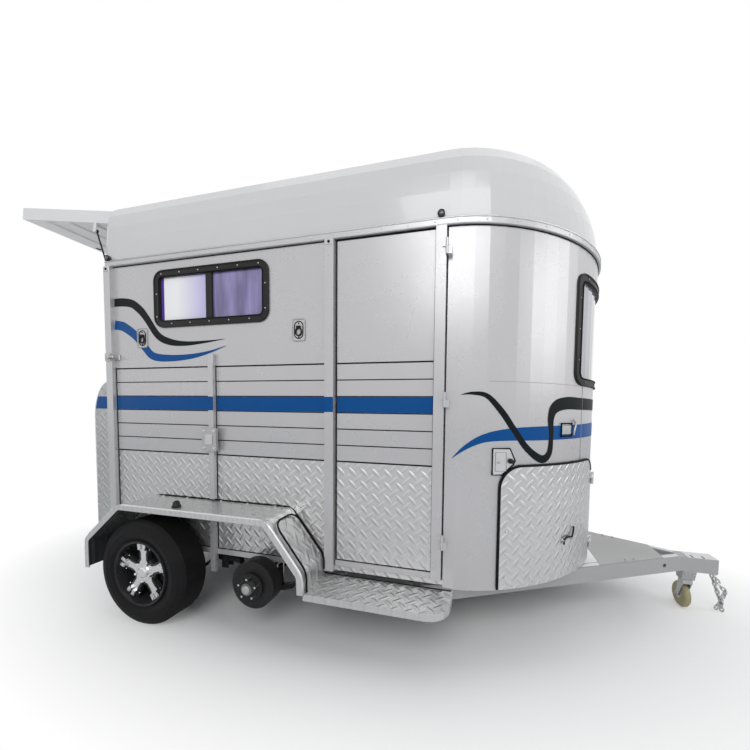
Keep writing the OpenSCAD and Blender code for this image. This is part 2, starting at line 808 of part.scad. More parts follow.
module ramp() {
    outline = concat([[-ramp_gap, ramp_foot_z], [ramp_back_x, ramp_foot_z]], ramp_arc(0));
    hollow = concat([[cut, ramp_foot_z + 10], [ramp_back_x + ramp_t, ramp_foot_z + 10]],
        ramp_arc(ramp_t), [[cut, ramp_top_z - ramp_t]]);
    color(plate_silver) from_rear() {
        difference() {
            along_y(-ramp_half, ramp_half) polygon(outline);
            along_y(-ramp_half + 20, ramp_half - 20) polygon(hollow);
            for (y = ramp_hinge_ys)
                block([-ramp_gap - 26, cut], [y - 4, y + 2 * knuckle_h + 4], [ramp_foot_z - cut, ramp_hinge_z + 16]);
        }
        for (y = ramp_hinge_ys)
            lying_moving(ramp_hinge_x, ramp_hinge_z, y, [-ramp_gap - 40, ramp_hinge_x], [ramp_foot_z, ramp_hinge_z]);
        for (i = [1:cleats]) {
            z = ramp_foot_z + i * (ramp_arc_z - ramp_foot_z) / (cleats + 1);
            block([ramp_back_x + ramp_t - cut, ramp_back_x + ramp_t + 14], [-720, 720], [z - 16, z + 16]);
        }
    }
}

// Flap: a tray with upturned edges over the ramp, held up by two gas struts
flap_t = 15;
strut_head_back = 200;
strut_head_drop = 50;
strut_head = [flap_hinge_x, flap_hinge_z] + [
    -strut_head_back * cos(flap_tilt) - strut_head_drop * sin(flap_tilt),
    strut_head_back * sin(flap_tilt) - strut_head_drop * cos(flap_tilt)
];
strut_foot = [strut_foot_x, strut_foot_z];

// Drawn level from its hinge, then raised by its tilt
module flap() {
    root = -11;
    low = 1;
    top = low + flap_lip;
    color(silver) from_rear() translate([flap_hinge_x, 0, flap_hinge_z]) rotate([0, flap_tilt, 0]) {
        block([-flap_len, root], [-flap_half, flap_half], [low, low + flap_t]);
        block([-flap_len, -flap_len + 12], [-flap_half, flap_half], [low, top]);
        both_sides() block([-flap_len, root], [-flap_half, -flap_half + 12], [low, top]);
        for (y = flap_hinge_ys) lying_moving(0, 0, y, [root - 10, 0], [-6, low + 7]);
        both_sides() {
            block([-strut_head_back - 14, -strut_head_back + 14], [-strut_y - 15, -strut_y - 9],
                [-strut_head_drop - 10, low + 1]);
            lying_pin(-strut_head_back, -strut_head_drop, -strut_y - 10, -strut_y - 6.5, strut_pin_d);
        }
    }
}

// Gas struts, drawn along z from the foot and then turned to the head
strut_len = norm(strut_head - strut_foot);
strut_turn = atan2(strut_head[0] - strut_foot[0], strut_head[1] - strut_foot[1]);
tube_d = 22;
tube_len = 400;
rod_d = 10;
rod_in = 60;
strut_eye_d = 24;

module at_strut(side) from_rear()
    translate([strut_foot[0], side * strut_y, strut_foot[1]]) rotate([0, strut_turn, 0]) children();

module strut_tube() {
    color(steel_black) difference() {
        union() {
            lying_pin(0, 0, -6, 6, strut_eye_d);
            translate([0, 0, 6]) cylinder(d = tube_d, h = tube_len - 6);
        }
        lying_pin(0, 0, -30, 30, strut_pin_d + 2 * pin_play);
        translate([0, 0, 40]) cylinder(d = rod_d + 2 * pin_play, h = tube_len);
    }
}

module strut_rod() {
    color([0.75, 0.75, 0.77]) {
        lying_pin(0, strut_len, -6, 6, strut_eye_d);
        translate([0, 0, tube_len - rod_in]) cylinder(d = rod_d, h = strut_len - tube_len + rod_in - 6);
    }
}

module strut_tube_right() at_strut(-1) strut_tube();
module strut_tube_left() at_strut(1) strut_tube();
module strut_rod_right() at_strut(-1) strut_rod();
module strut_rod_left() at_strut(1) strut_rod();

// Castor under the tongue, turned across the trailer as it was left
castor_x = tongue_end_x - 160;
castor_trail = 35;
castor_w = 40;
mount_z = drawbar_bottom_z - 68;
swivel_d = 24;
fork_z = castor_d + 16;
fork_gap = 3;
castor_axle_z = castor_d / 2;

module castor_mount() {
    color(silver) from_rear() {
        along_x(castor_x - 40, castor_x + 40) polygon([
            [-48, drawbar_bottom_z], [48, drawbar_bottom_z], [30, mount_z], [-30, mount_z]
        ]);
        translate([castor_x, 0, fork_z]) cylinder(d = swivel_d, h = mount_z - fork_z + cut);
    }
}

module castor_fork() {
    leg_y = castor_w / 2 + fork_gap;
    color([0.6, 0.6, 0.6]) from_rear() translate([castor_x, 0, 0]) {
        difference() {
            block([-leg_y - 6, leg_y + 6], [-30, 30], [fork_z, mount_z - 2]);
            translate([0, 0, fork_z - cut]) cylinder(d = swivel_d + 2 * pin_play, h = 60);
        }
        for (s = [-1, 1]) translate([s * (leg_y + 3), 0, 0]) along_x(-3, 3) {
            polygon([[-30, fork_z + 6], [30, fork_z + 6], [castor_trail + 15, castor_axle_z], [castor_trail - 15, castor_axle_z]]);
            translate([castor_trail, castor_axle_z]) circle(d = 30);
        }
        translate([-leg_y - 3, castor_trail, castor_axle_z]) rotate([0, 90, 0]) cylinder(d = 12, h = 2 * leg_y + 6);
    }
}

module castor_wheel() {
    color([0.72, 0.6, 0.42]) from_rear() translate([castor_x, castor_trail, castor_axle_z]) rotate([0, 90, 0])
        rotate_extrude() polygon(concat(
            [[6 + pin_play, -castor_w / 2], [castor_d / 2 - 8, -castor_w / 2]],
            [[castor_d / 2, -castor_w / 2 + 10], [castor_d / 2, castor_w / 2 - 10]],
            [[castor_d / 2 - 8, castor_w / 2], [6 + pin_play, castor_w / 2]]
        ));
}

// Safety chains: welded to the tongue, they hang to the ground and cross
link_pitch = 29;
link_wire = 8;
link_w = 26;
chain_routes = [
    [[-26, -28, -8], [28, -20, -160], [54, -6, -212], [70, 10, -278]],
    [[8, 20, -8], [56, 12, -110], [81.4, 4, -130], [54, 2, -212], [6, -14, -278]]
];

function route_length(r, i = 0) = i >= len(r) - 1 ? 0 : norm(r[i + 1] - r[i]) + route_length(r, i + 1);

function route_point(r, s, i = 0) =
    let (step = norm(r[i + 1] - r[i]))
    s <= step || i == len(r) - 2 ? r[i] + (r[i + 1] - r[i]) * s / step : route_point(r, s - step, i + 1);

module chain_link() {
    long = link_pitch + 2 * link_wire - 1;
    rotate([90, 0, 0]) translate([0, 0, -link_wire / 2]) linear_extrude(link_wire) difference() {
        stadium(link_w, long);
        stadium(link_w - 2 * link_wire, long - 2 * link_wire);
    }
    module stadium(w, h) polygon([
        for (i = [0:3]) [w / 2 * cos(i * 60), (h - w) / 2 + w / 2 * sin(i * 60)],
        for (i = [3:6]) [w / 2 * cos(i * 60), -(h - w) / 2 + w / 2 * sin(i * 60)]
    ]);
}

module safety_chains() {
    color([0.55, 0.55, 0.57]) from_rear() translate([tongue_end_x, 0, drawbar_bottom_z]) {
        for (route = chain_routes) {
            count = floor(route_length(route) / link_pitch);
            for (i = [0:count - 1]) {
                p = route_point(route, (i + 0.5) * link_pitch);
                d = route_point(route, (i + 1) * link_pitch) - route_point(route, i * link_pitch);
                translate(p) rotate([0, acos(d[2] / norm(d)), atan2(d[1], d[0])])
                    rotate([0, 0, i % 2 * 90]) chain_link();
            }
        }
    }
}

// Lamps: four on the gutter rail and two tail lamps on the fenders
lamp_d = 38;
tail_lamp_w = 110;
tail_lamp_h = 90;

module lamps() {
    lamp_xs = [24, side_len - 40];
    color([0.75, 0.75, 0.7]) from_rear() both_sides() {
        for (x = lamp_xs) {
            lying_pin(x, gutter_top_z + lamp_d / 2 + 2, -half_w - 16, -half_w, lamp_d);
            block([x - 10, x + 10], [-half_w - 12, -half_w], [gutter_top_z, gutter_top_z + 8]);
        }
        along_x(fender_x0 - 22, fender_x0) translate([-(fender_half + half_w) / 2 - 37, fender_z - 300])
            rounded_rect(tail_lamp_w, tail_lamp_h, 14);
    }
}

// Plates on the sides: tie rings, the catches of the rear posts and the brackets on the short posts
tie_xs = [306, door_x0 - 243];
tie_z = wall_top_z - 497;
tie_w = 86;
tie_h = 130;
catch_z = wall_top_z - 649;
catch_h = 52;
bracket_z = belt_z + 28;
bracket_h = 147;

module tie_plates() {
    color(silver) from_rear() both_sides() {
        for (x = tie_xs) along_y(-half_w - 3, -half_w) translate([x, tie_z]) rounded_rect(tie_w, tie_h, 10);
        block([4, post_w - 4], [-post_y - 8, -post_y], [catch_z, catch_z + catch_h]);
        block([thin_post_x - 35, thin_post_x + thin_post_w + 35], [-post_y - 18, -post_y], [bracket_z, bracket_z + bracket_h]);
    }
}

// Inside: the centre divider between two poles, with breast bars, and the locker in the nose
pole_d = 42;
pole_xs = [300, mid_post_x + 10];
divider_t = 24;
divider_zs = [floor_top_z + 460, floor_top_z + 1250];
breast_bar_z = floor_top_z + 780;
breast_bar_d = 34;

module divider() {
    color([0.2, 0.2, 0.22]) from_rear() {
        for (x = pole_xs)
            translate([x, 0, floor_top_z]) cylinder(d = pole_d, h = roof_top_z - roof_t - fit - floor_top_z);
        block(pole_xs, [-divider_t / 2, divider_t / 2], divider_zs);
        lying_pin(pole_xs[1], breast_bar_z, -inner_half + fit, inner_half - fit, breast_bar_d);
    }
}

shelf_t = 18;

module locker() {
    shelf_z = hatch_top_z + 20;
    color([0.5, 0.5, 0.5]) from_rear() {
        along_z(shelf_z, shelf_z + shelf_t) intersection() {
            polygon(nose_edge(-wall_t - fit));
            translate([side_len + 6, -half_w]) square([nose_len, body_w]);
        }
        block([side_len + 6, side_len + 6 + shelf_t], [-inner_half + 6, inner_half - 6], [floor_top_z, shelf_z]);
    }
}

chassis();
drawbar();
floor();
wall_right();
wall_left();
nose();
roof();
gutter();
rear_frame();
side_window_frames();
side_window_glass();
nose_window_frame();
nose_window_glass();
fender_right();
fender_left();
step_right();
step_left();
axles();
springs();
hub_rear_right();
hub_front_right();
hub_rear_left();
hub_front_left();
rim_rear_right();
rim_rear_left();
rim_front_left();
tyre_rear_right();
tyre_rear_left();
tyre_front_left();
side_door();
hatch_right();
hatch_left();
ramp();
flap();
strut_tube_right();
strut_tube_left();
strut_rod_right();
strut_rod_left();
castor_mount();
castor_fork();
castor_wheel();
safety_chains();
lamps();
tie_plates();
divider();
locker();
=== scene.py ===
"""Horse trailer: looks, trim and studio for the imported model."""
import math

import bmesh
import bpy
from mathutils import Matrix, Vector


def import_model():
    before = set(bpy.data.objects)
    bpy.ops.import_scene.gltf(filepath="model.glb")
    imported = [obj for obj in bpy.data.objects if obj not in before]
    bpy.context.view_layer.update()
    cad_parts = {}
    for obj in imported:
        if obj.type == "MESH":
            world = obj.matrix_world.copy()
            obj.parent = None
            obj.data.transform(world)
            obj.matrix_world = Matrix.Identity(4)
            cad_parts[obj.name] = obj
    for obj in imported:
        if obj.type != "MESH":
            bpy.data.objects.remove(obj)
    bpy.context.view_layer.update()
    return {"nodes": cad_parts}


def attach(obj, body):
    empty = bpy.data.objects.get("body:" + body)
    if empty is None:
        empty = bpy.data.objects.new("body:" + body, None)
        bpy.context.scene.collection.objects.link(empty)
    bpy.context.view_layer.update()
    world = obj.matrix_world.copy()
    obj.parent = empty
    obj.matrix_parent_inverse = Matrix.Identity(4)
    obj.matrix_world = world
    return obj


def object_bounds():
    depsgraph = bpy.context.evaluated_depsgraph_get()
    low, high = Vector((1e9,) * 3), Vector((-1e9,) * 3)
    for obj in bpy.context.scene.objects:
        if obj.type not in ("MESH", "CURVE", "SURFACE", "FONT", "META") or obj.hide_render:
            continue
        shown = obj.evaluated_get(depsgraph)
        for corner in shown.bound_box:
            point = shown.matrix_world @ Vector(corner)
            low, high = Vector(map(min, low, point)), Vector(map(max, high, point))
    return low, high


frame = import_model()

NODES = frame["nodes"]
LOW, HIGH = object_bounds()

# Sizes of the model, in metres. x is measured forward from the rear face of the body.
REAR_X = -1.63748
HALF_W = 0.88
POST_Y = 0.905
SIDE_LEN = 2.39
NOSE_LEN = 0.95
NOSE_POW = 1.8
DOOR_X = (1.75, 2.382)
BELT_Z = 1.066
PLANK = 0.095
GROOVES = [BELT_Z + PLANK * i for i in range(7)]
POSTS = {"rear": (0.0, 0.056), "thin": (0.866, 0.904), "mid": (1.686, 1.742), "door": (2.326, 2.382)}
FENDER = [(0.125, 0.338), (0.125, 0.527), (0.403, 0.765), (1.458, 0.765), (1.676, 0.488), (1.681, 0.3863)]
AXLES = (0.535, 1.295)
AXLE_Z = 0.334
WHEEL_Y = 1.0145
STRIPE_Z = (1.3545, 1.4425)
ROOF_LEVELS = [
    (0, 0), (0.3, 0.002), (0.5, 0.008), (0.68, 0.025), (0.82, 0.058), (0.92, 0.12), (0.975, 0.22), (1, 0.42),
]


# Shader helpers

class Shader:
    """A material under construction, with short calls for its nodes."""

    def __init__(self, name, color, rough, metallic=0.0, **sockets):
        self.mat = bpy.data.materials.new(name)
        self.mat.use_nodes = True
        self.tree = self.mat.node_tree
        self.tree.nodes.clear()
        self.out = self.tree.nodes.new("ShaderNodeOutputMaterial")
        self.bsdf = self.tree.nodes.new("ShaderNodeBsdfPrincipled")
        self.link(self.bsdf.outputs[0], self.out.inputs[0])
        self.bsdf.inputs["Base Color"].default_value = (*color, 1)
        self.bsdf.inputs["Roughness"].default_value = rough
        self.bsdf.inputs["Metallic"].default_value = metallic
        for key, value in sockets.items():
            self.bsdf.inputs[key.replace("_", " ")].default_value = value
        self.coord = self.tree.nodes.new("ShaderNodeTexCoord").outputs["Object"]
        self.mat.diffuse_color = (*color, 1)

    def link(self, a, b):
        self.tree.links.new(a, b)

    def math(self, op, a, b=0.0, c=None, clamp=False):
        node = self.tree.nodes.new("ShaderNodeMath")
        node.operation = op
        node.use_clamp = clamp
        for socket, value in zip(node.inputs, (a, b, c)):
            if value is None:
                continue
            if isinstance(value, (int, float)):
                socket.default_value = value
            else:
                self.link(value, socket)
        return node.outputs[0]

    def axes(self):
        node = self.tree.nodes.new("ShaderNodeSeparateXYZ")
        self.link(self.coord, node.inputs[0])
        return node.outputs

    def vector(self, x, y, z=0.0):
        node = self.tree.nodes.new("ShaderNodeCombineXYZ")
        for socket, value in zip(node.inputs, (x, y, z)):
            if isinstance(value, (int, float)):
                socket.default_value = value
            else:
                self.link(value, socket)
        return node.outputs[0]

    def noise(self, scale, detail=3.0, rough=0.5, vector=None):
        node = self.tree.nodes.new("ShaderNodeTexNoise")
        node.inputs["Scale"].default_value = scale
        node.inputs["Detail"].default_value = detail
        node.inputs["Roughness"].default_value = rough
        self.link(vector or self.coord, node.inputs["Vector"])
        return node.outputs["Fac"]

    def span(self, value, low, high, to_low=0.0, to_high=1.0):
        node = self.tree.nodes.new("ShaderNodeMapRange")
        node.inputs[1].default_value = low
        node.inputs[2].default_value = high
        node.inputs[3].default_value = to_low
        node.inputs[4].default_value = to_high
        self.link(value, node.inputs[0])
        return node.outputs[0]

    def mix_color(self, factor, a, b):
        node = self.tree.nodes.new("ShaderNodeMix")
        node.data_type = "RGBA"
        for socket, value in zip((node.inputs[0], node.inputs[6], node.inputs[7]), (factor, a, b)):
            if isinstance(value, tuple):
                socket.default_value = (*value, 1)
            elif isinstance(value, (int, float)):
                socket.default_value = value
            else:
                self.link(value, socket)
        return node.outputs[2]

    def mix(self, factor, a, b):
        """a where factor is 0, b where it is 1."""
        node = self.tree.nodes.new("ShaderNodeMix")
        for socket, value in zip((node.inputs[0], node.inputs[2], node.inputs[3]), (factor, a, b)):
            if isinstance(value, (int, float)):
                socket.default_value = value
            else:
                self.link(value, socket)
        return node.outputs[0]

    def bump(self, height, distance, strength=1.0):
        node = self.tree.nodes.new("ShaderNodeBump")
        node.inputs["Strength"].default_value = strength
        node.inputs["Distance"].default_value = distance
        self.link(height, node.inputs["Height"])
        self.link(node.outputs[0], self.bsdf.inputs["Normal"])

    def use(self, socket, value):
        self.link(value, self.bsdf.inputs[socket])


def tread_height(s, u, v, pitch):
    """Raised lozenges in two crossing directions, on coordinates u and v."""
    total = None
    for shift, sign in ((0.0, 1.0), (0.5, -1.0)):
        a = s.math("SUBTRACT", s.math("FRACT", s.math("ADD", s.math("MULTIPLY", u, 1 / pitch), shift)), 0.5)
        b = s.math("SUBTRACT", s.math("FRACT", s.math("ADD", s.math("MULTIPLY", v, 1 / pitch), shift)), 0.5)
        long = s.math("MULTIPLY", s.math("ADD", a, s.math("MULTIPLY", b, sign)), 1.35)
        wide = s.math("MULTIPLY", s.math("SUBTRACT", a, s.math("MULTIPLY", b, sign)), 4.6)
        far = s.math("ADD", s.math("POWER", s.math("ABSOLUTE", long), 2.0), s.math("POWER", s.math("ABSOLUTE", wide), 2.0))
        lens = s.span(far, 0.0, 1.0, 1.0, 0.0)
        total = lens if total is None else s.math("MAXIMUM", total, lens)
    return total


def painted(name, color, rough, metallic=0.0, grain=0.0004, **sockets):
    """Paint with a faint orange peel, uneven gloss and a little grime."""
    s = Shader(name, color, rough, metallic, **sockets)
    cloud = s.noise(2.3, 4.0)
    s.use("Roughness", s.span(cloud, 0.3, 0.7, rough * 0.8, rough * 1.25))
    grime = s.span(s.noise(1.7, 4.0, 0.5), 0.3, 0.8, 0.0, 0.2)
    s.use("Base Color", s.mix_color(grime, color, tuple(c * 0.8 for c in color)))
    s.bump(s.noise(30.0, 1.0), grain, 0.5)
    return s.mat


def plated(name, color, plane, pitch=0.072):
    """Bright tread plate, on the plane named by two axes; on the xy plane, its faces under the fender get painted
    shade.
    """
    s = Shader(name, color, 0.34, 0.75)
    axes = dict(zip("xyz", s.axes()))
    if plane == "nose":
        u = s.math("ADD", s.math("MULTIPLY", axes["x"], 0.72), s.math("MULTIPLY", s.math("ABSOLUTE", axes["y"]), -0.72))
        v = axes["z"]
    else:
        u, v = axes[plane[0]], axes[plane[1]]
    if plane == "yz":
        u = s.mix(s.math("GREATER_THAN", s.math("ABSOLUTE", axes["y"]), 0.874), u, axes["x"])
    height = tread_height(s, u, v, pitch)
    s.bump(height, 0.0034, 0.9)
    cloud = s.span(s.noise(3.1, 5.0, 0.6), 0.3, 0.75, 0.0, 1.0)
    s.use("Roughness", s.mix(cloud, 0.24, 0.42))
    shown = s.mix_color(s.math("MULTIPLY", cloud, 0.35), color, tuple(c * 0.72 for c in color))
    # Painted shade: on the fenders and steps, faces turned in toward the fender's middle, as under the fender, are
    # painted near black and not metallic.
    if plane == "xy":
        facing = s.tree.nodes.new("ShaderNodeSeparateXYZ")
        s.link(s.tree.nodes.new("ShaderNodeNewGeometry").outputs["True Normal"], facing.inputs[0])
        ahead = s.math("MULTIPLY", s.math("SUBTRACT", axes["x"], 0.9 + REAR_X), facing.outputs[0])
        above = s.math("MULTIPLY", s.math("SUBTRACT", axes["z"], 0.33), facing.outputs[2])
        under = s.math("LESS_THAN", s.math("ADD", ahead, above), -0.01)
        shown = s.mix_color(under, shown, (0.05, 0.055, 0.055))
        s.use("Metallic", s.mix(under, 0.75, 0.0))
    s.use("Base Color", shown)
    return s.mat


def walled(name, color, plane="xz"):
    """Silver skin above the belt and tread plate under it."""
    s = Shader(name, color, 0.3, 0.35)
    axes = dict(zip("xyz", s.axes()))
    low = s.math("LESS_THAN", axes["z"], BELT_Z - 0.004)
    out = s.math("GREATER_THAN", s.math("ABSOLUTE", axes["y"]), HALF_W - 0.003)
    proud = s.math("LESS_THAN", s.math("ABSOLUTE", axes["y"]), HALF_W + 0.004)
    plate = s.math("MULTIPLY", s.math("MULTIPLY", low, out), proud)
    height = tread_height(s, axes[plane[0]], axes[plane[1]], 0.072)
    wave = s.noise(4.0, 1.0)
    s.bump(s.mix(plate, s.math("MULTIPLY", wave, 0.6), height), 0.0034, 0.9)
    cloud = s.span(s.noise(2.7, 5.0, 0.6), 0.3, 0.75, 0.0, 1.0)
    s.use("Metallic", s.mix(plate, 0.35, 0.75))
    s.use("Roughness", s.mix(plate, s.mix(cloud, 0.24, 0.34), s.mix(cloud, 0.24, 0.42)))
    inside = s.math("LESS_THAN", s.math("ABSOLUTE", axes["y"]), HALF_W - 0.03)
    skin = s.mix_color(s.math("MULTIPLY", cloud, 0.12), color, tuple(c * 0.8 for c in color))
    tread = s.mix_color(s.math("MULTIPLY", cloud, 0.35), (0.62, 0.62, 0.62), (0.44, 0.44, 0.45))
    shown = s.mix_color(plate, skin, tread)
    s.use("Base Color", s.mix_color(inside, shown, (0.55, 0.55, 0.56)))
    return s.mat


SILVER = (0.54, 0.535, 0.55)
M = {
    "wall": walled("wall_skin", SILVER),
    "skin": painted("silver_skin", SILVER, 0.28, 0.35),
    "frame": painted("silver_frame", (0.56, 0.56, 0.57), 0.32, 0.45),
    "trim": painted("bright_trim", (0.68, 0.68, 0.69), 0.28, 0.6),
    "roof": painted("roof_white", (0.63, 0.63, 0.64), 0.22, 0.0, Coat_Weight=0.6, Coat_Roughness=0.08),
    "flap": painted("flap_white", (0.82, 0.82, 0.83), 0.3, 0.0),
    "plate_side": plated("tread_plate_side", (0.62, 0.62, 0.62), "xz"),
    "plate_top": plated("tread_plate_top", (0.62, 0.62, 0.62), "xy"),
    "plate_nose": plated("tread_plate_nose", (0.64, 0.64, 0.64), "nose"),
    "plate_back": plated("tread_plate_back", (0.5, 0.51, 0.51), "yz"),
    "rail": painted("rail_grey", (0.42, 0.42, 0.42), 0.42, 0.3),
    "pale": painted("rail_pale", (0.8, 0.8, 0.8), 0.4, 0.0),
    "black": painted("black_paint", (0.014, 0.014, 0.015), 0.5, 0.0, Specular_IOR_Level=0.15),
    "plastic": painted("black_plastic", (0.018, 0.017, 0.017), 0.42, 0.0, Specular_IOR_Level=0.2),
    "seal": painted("seal_rubber", (0.008, 0.008, 0.009), 0.6, 0.0, Specular_IOR_Level=0.1),
    "zinc": painted("zinc", (0.5, 0.5, 0.5), 0.4, 0.85),
    "chrome": painted("chrome_rod", (0.75, 0.75, 0.76), 0.15, 1.0),
    "tan": painted("tan_wheel", (0.34, 0.31, 0.17), 0.6, 0.0),
    "floor": painted("rubber_floor", (0.05, 0.05, 0.05), 0.8, 0.0),
    "pad": painted("divider_pad", (0.03, 0.03, 0.035), 0.6, 0.0),
    "blue": painted("stripe_blue", (0.002, 0.075, 0.27), 0.35, 0.0, Specular_IOR_Level=0.15),
    "ink": painted("stripe_black", (0.009, 0.012, 0.014), 0.4, 0.0, Specular_IOR_Level=0.08),
    "red": painted("lens_red", (0.5, 0.01, 0.008), 0.15, 0.0, Coat_Weight=0.6),
    "lens": painted("lens_dark", (0.03, 0.03, 0.035), 0.12, 0.0, Coat_Weight=0.8),
}


def wheel_polar(s, x):
    """Radius and turn round an axle, and the distance outward from the wheel's middle."""
    axes = s.axes()
    across = s.math("SUBTRACT", axes[0], x + REAR_X)
    up = s.math("SUBTRACT", axes[2], AXLE_Z)
    radius = s.math("SQRT", s.math("ADD", s.math("MULTIPLY", across, across), s.math("MULTIPLY", up, up)))
    return radius, s.math("ARCTAN2", up, across), s.math("SUBTRACT", s.math("ABSOLUTE", axes[1]), WHEEL_Y)


def rubber(x):
    """Tyre rubber with grooves and sipes in its tread and rings on its walls."""
    s = Shader("tyre_rubber", (0.012, 0.012, 0.013), 0.62, 0.0, Specular_IOR_Level=0.12)
    dust = s.span(s.noise(9.0, 6.0, 0.6), 0.5, 0.85, 0.0, 0.3)
    s.use("Base Color", s.mix_color(dust, (0.01, 0.01, 0.011), (0.028, 0.027, 0.025)))
    radius, turn, out = wheel_polar(s, x)
    crown = s.math("GREATER_THAN", radius, 0.3255)
    row = s.math("PINGPONG", s.math("ADD", out, 0.5), 0.021)
    groove = s.math("LESS_THAN", row, 0.0032)
    slant = s.math("ADD", s.math("MULTIPLY", turn, 9.55), s.math("MULTIPLY", out, 9.0))
    sipe = s.math("LESS_THAN", s.math("ABSOLUTE", s.math("SUBTRACT", s.math("FRACT", slant), 0.5)), 0.07)
    cut = s.math("MULTIPLY", crown, s.math("MAXIMUM", groove, sipe))
    ring = s.math("LESS_THAN", s.math("ABSOLUTE", s.math("SUBTRACT", radius, 0.262)), 0.0022)
    rim_ring = s.math("LESS_THAN", s.math("ABSOLUTE", s.math("SUBTRACT", radius, 0.222)), 0.002)
    rib = s.math("MULTIPLY", s.math("GREATER_THAN", radius, 0.298), s.math("LESS_THAN", radius, 0.3255))
    ribs = s.math("MULTIPLY", rib, s.math("GREATER_THAN", s.math("FRACT", s.math("MULTIPLY", turn, 9.55)), 0.62))
    raised = s.math("ADD", s.math("MAXIMUM", ring, rim_ring), s.math("SUBTRACT", s.math("MULTIPLY", ribs, 0.8), s.math("MULTIPLY", cut, 3.0)))
    s.bump(s.math("ADD", raised, s.math("MULTIPLY", s.noise(600.0, 2.0), 0.12)), 0.0025, 1.0)
    return s.mat


def alloy(x):
    """Bright machined face over dark pockets, by the depth from the wheel's middle."""
    s = Shader("alloy_rim", (0.7, 0.7, 0.71), 0.25, 1.0)
    radius, turn, out = wheel_polar(s, x)
    face = s.math("GREATER_THAN", out, 0.0555)
    around = s.math("MULTIPLY", s.math("SUBTRACT", turn, math.pi / 2), 5 / (2 * math.pi))
    off = s.math("MULTIPLY", s.math("SUBTRACT", s.math("FRACT", s.math("ADD", around, 5.5)), 0.5), 2 * math.pi / 5)
    aside = s.math("ABSOLUTE", s.math("MULTIPLY", radius, s.math("SINE", off)))
    flare = s.span(radius, 0.115, 0.18, 0.019, 0.034)
    root = s.span(radius, 0.055, 0.1, 0.04, 0.0)
    arm = s.math("LESS_THAN", aside, s.math("MAXIMUM", flare, root))
    arm = s.math("MULTIPLY", arm, s.math("LESS_THAN", radius, 0.182))
    face = s.math("MULTIPLY", face, arm)
    s.use("Base Color", s.mix_color(face, (0.03, 0.03, 0.032), (0.72, 0.72, 0.73)))
    s.use("Roughness", s.mix(face, 0.45, 0.22))
    s.use("Metallic", s.mix(face, 0.2, 0.95))
    s.bump(s.noise(300.0, 2.0), 0.0003)
    return s.mat


def glass(name, tint, deep, bright=None):
    """Tinted pane with soft vertical bands of painted reflection, as a window that mirrors a bright shed; given a
    bright colour, a painted white reflection lies over its rear part.
    """
    s = Shader(name, tint, 0.06, 0.0, Coat_Weight=1.0, Coat_Roughness=0.03)
    axes = s.axes()
    wave = s.noise(1.0, 3.0, 0.55, s.vector(s.math("MULTIPLY", axes[0], 9.0), s.math("MULTIPLY", axes[1], 9.0), s.math("MULTIPLY", axes[2], 1.2)))
    bands = s.span(wave, 0.35, 0.65)
    shown = s.mix_color(bands, deep, tint)
    if bright:
        # Painted reflection: toward the rear, the pane turns near white and fades back to violet by the thin post, with
        # a deep violet strip at its rear end.
        x = s.math("SUBTRACT", axes[0], REAR_X)
        pale = s.mix_color(s.span(x, 0.6, 0.85), bright, (0.5, 0.45, 0.84))
        shown = s.mix_color(s.math("LESS_THAN", x, 0.862), shown, pale)
        shown = s.mix_color(s.math("LESS_THAN", x, 0.49), shown, (0.13, 0.07, 0.45))
    s.use("Base Color", shown)
    s.bsdf.inputs["Alpha"].default_value = 0.95
    return s.mat


def hub_paint(x):
    """Black drum with bright studs and a bright grease cap."""
    s = Shader("hub_black", (0.02, 0.02, 0.021), 0.5, 0.0, Specular_IOR_Level=0.15)
    radius, turn, out = wheel_polar(s, x)
    stud = s.math("MULTIPLY", s.math("GREATER_THAN", out, 0.0385), s.math("GREATER_THAN", radius, 0.049))
    stud = s.math("MULTIPLY", stud, s.math("LESS_THAN", radius, 0.0655))
    cap = s.math("MULTIPLY", s.math("GREATER_THAN", out, 0.0385), s.math("LESS_THAN", radius, 0.0365))
    s.use("Base Color", s.mix_color(stud, s.mix_color(cap, (0.02, 0.02, 0.021), (0.2, 0.2, 0.2)), (0.7, 0.7, 0.7)))
    s.use("Metallic", s.math("MAXIMUM", stud, s.math("MULTIPLY", cap, 0.8)))
    s.use("Roughness", s.mix(stud, s.span(s.noise(30.0), 0.3, 0.7, 0.38, 0.6), 0.3))
    rings = s.math("LESS_THAN", s.math("PINGPONG", radius, 0.012), 0.0012)
    s.bump(s.math("ADD", s.math("MULTIPLY", rings, -0.6), s.noise(160.0)), 0.0008)
    return s.mat


for number, at in enumerate(AXLES):
    M[f"tyre{number}"] = rubber(at)
    M[f"rim{number}"] = alloy(at)
    M[f"hub{number}"] = hub_paint(at)
# The near-white colour is the painted reflection on the side windows.
M["glass_side"] = glass("glass_violet", (0.4, 0.34, 0.72), (0.12, 0.1, 0.26), (0.98, 0.98, 1.0))
M["glass_nose"] = glass("glass_grey", (0.34, 0.35, 0.4), (0.16, 0.17, 0.2))

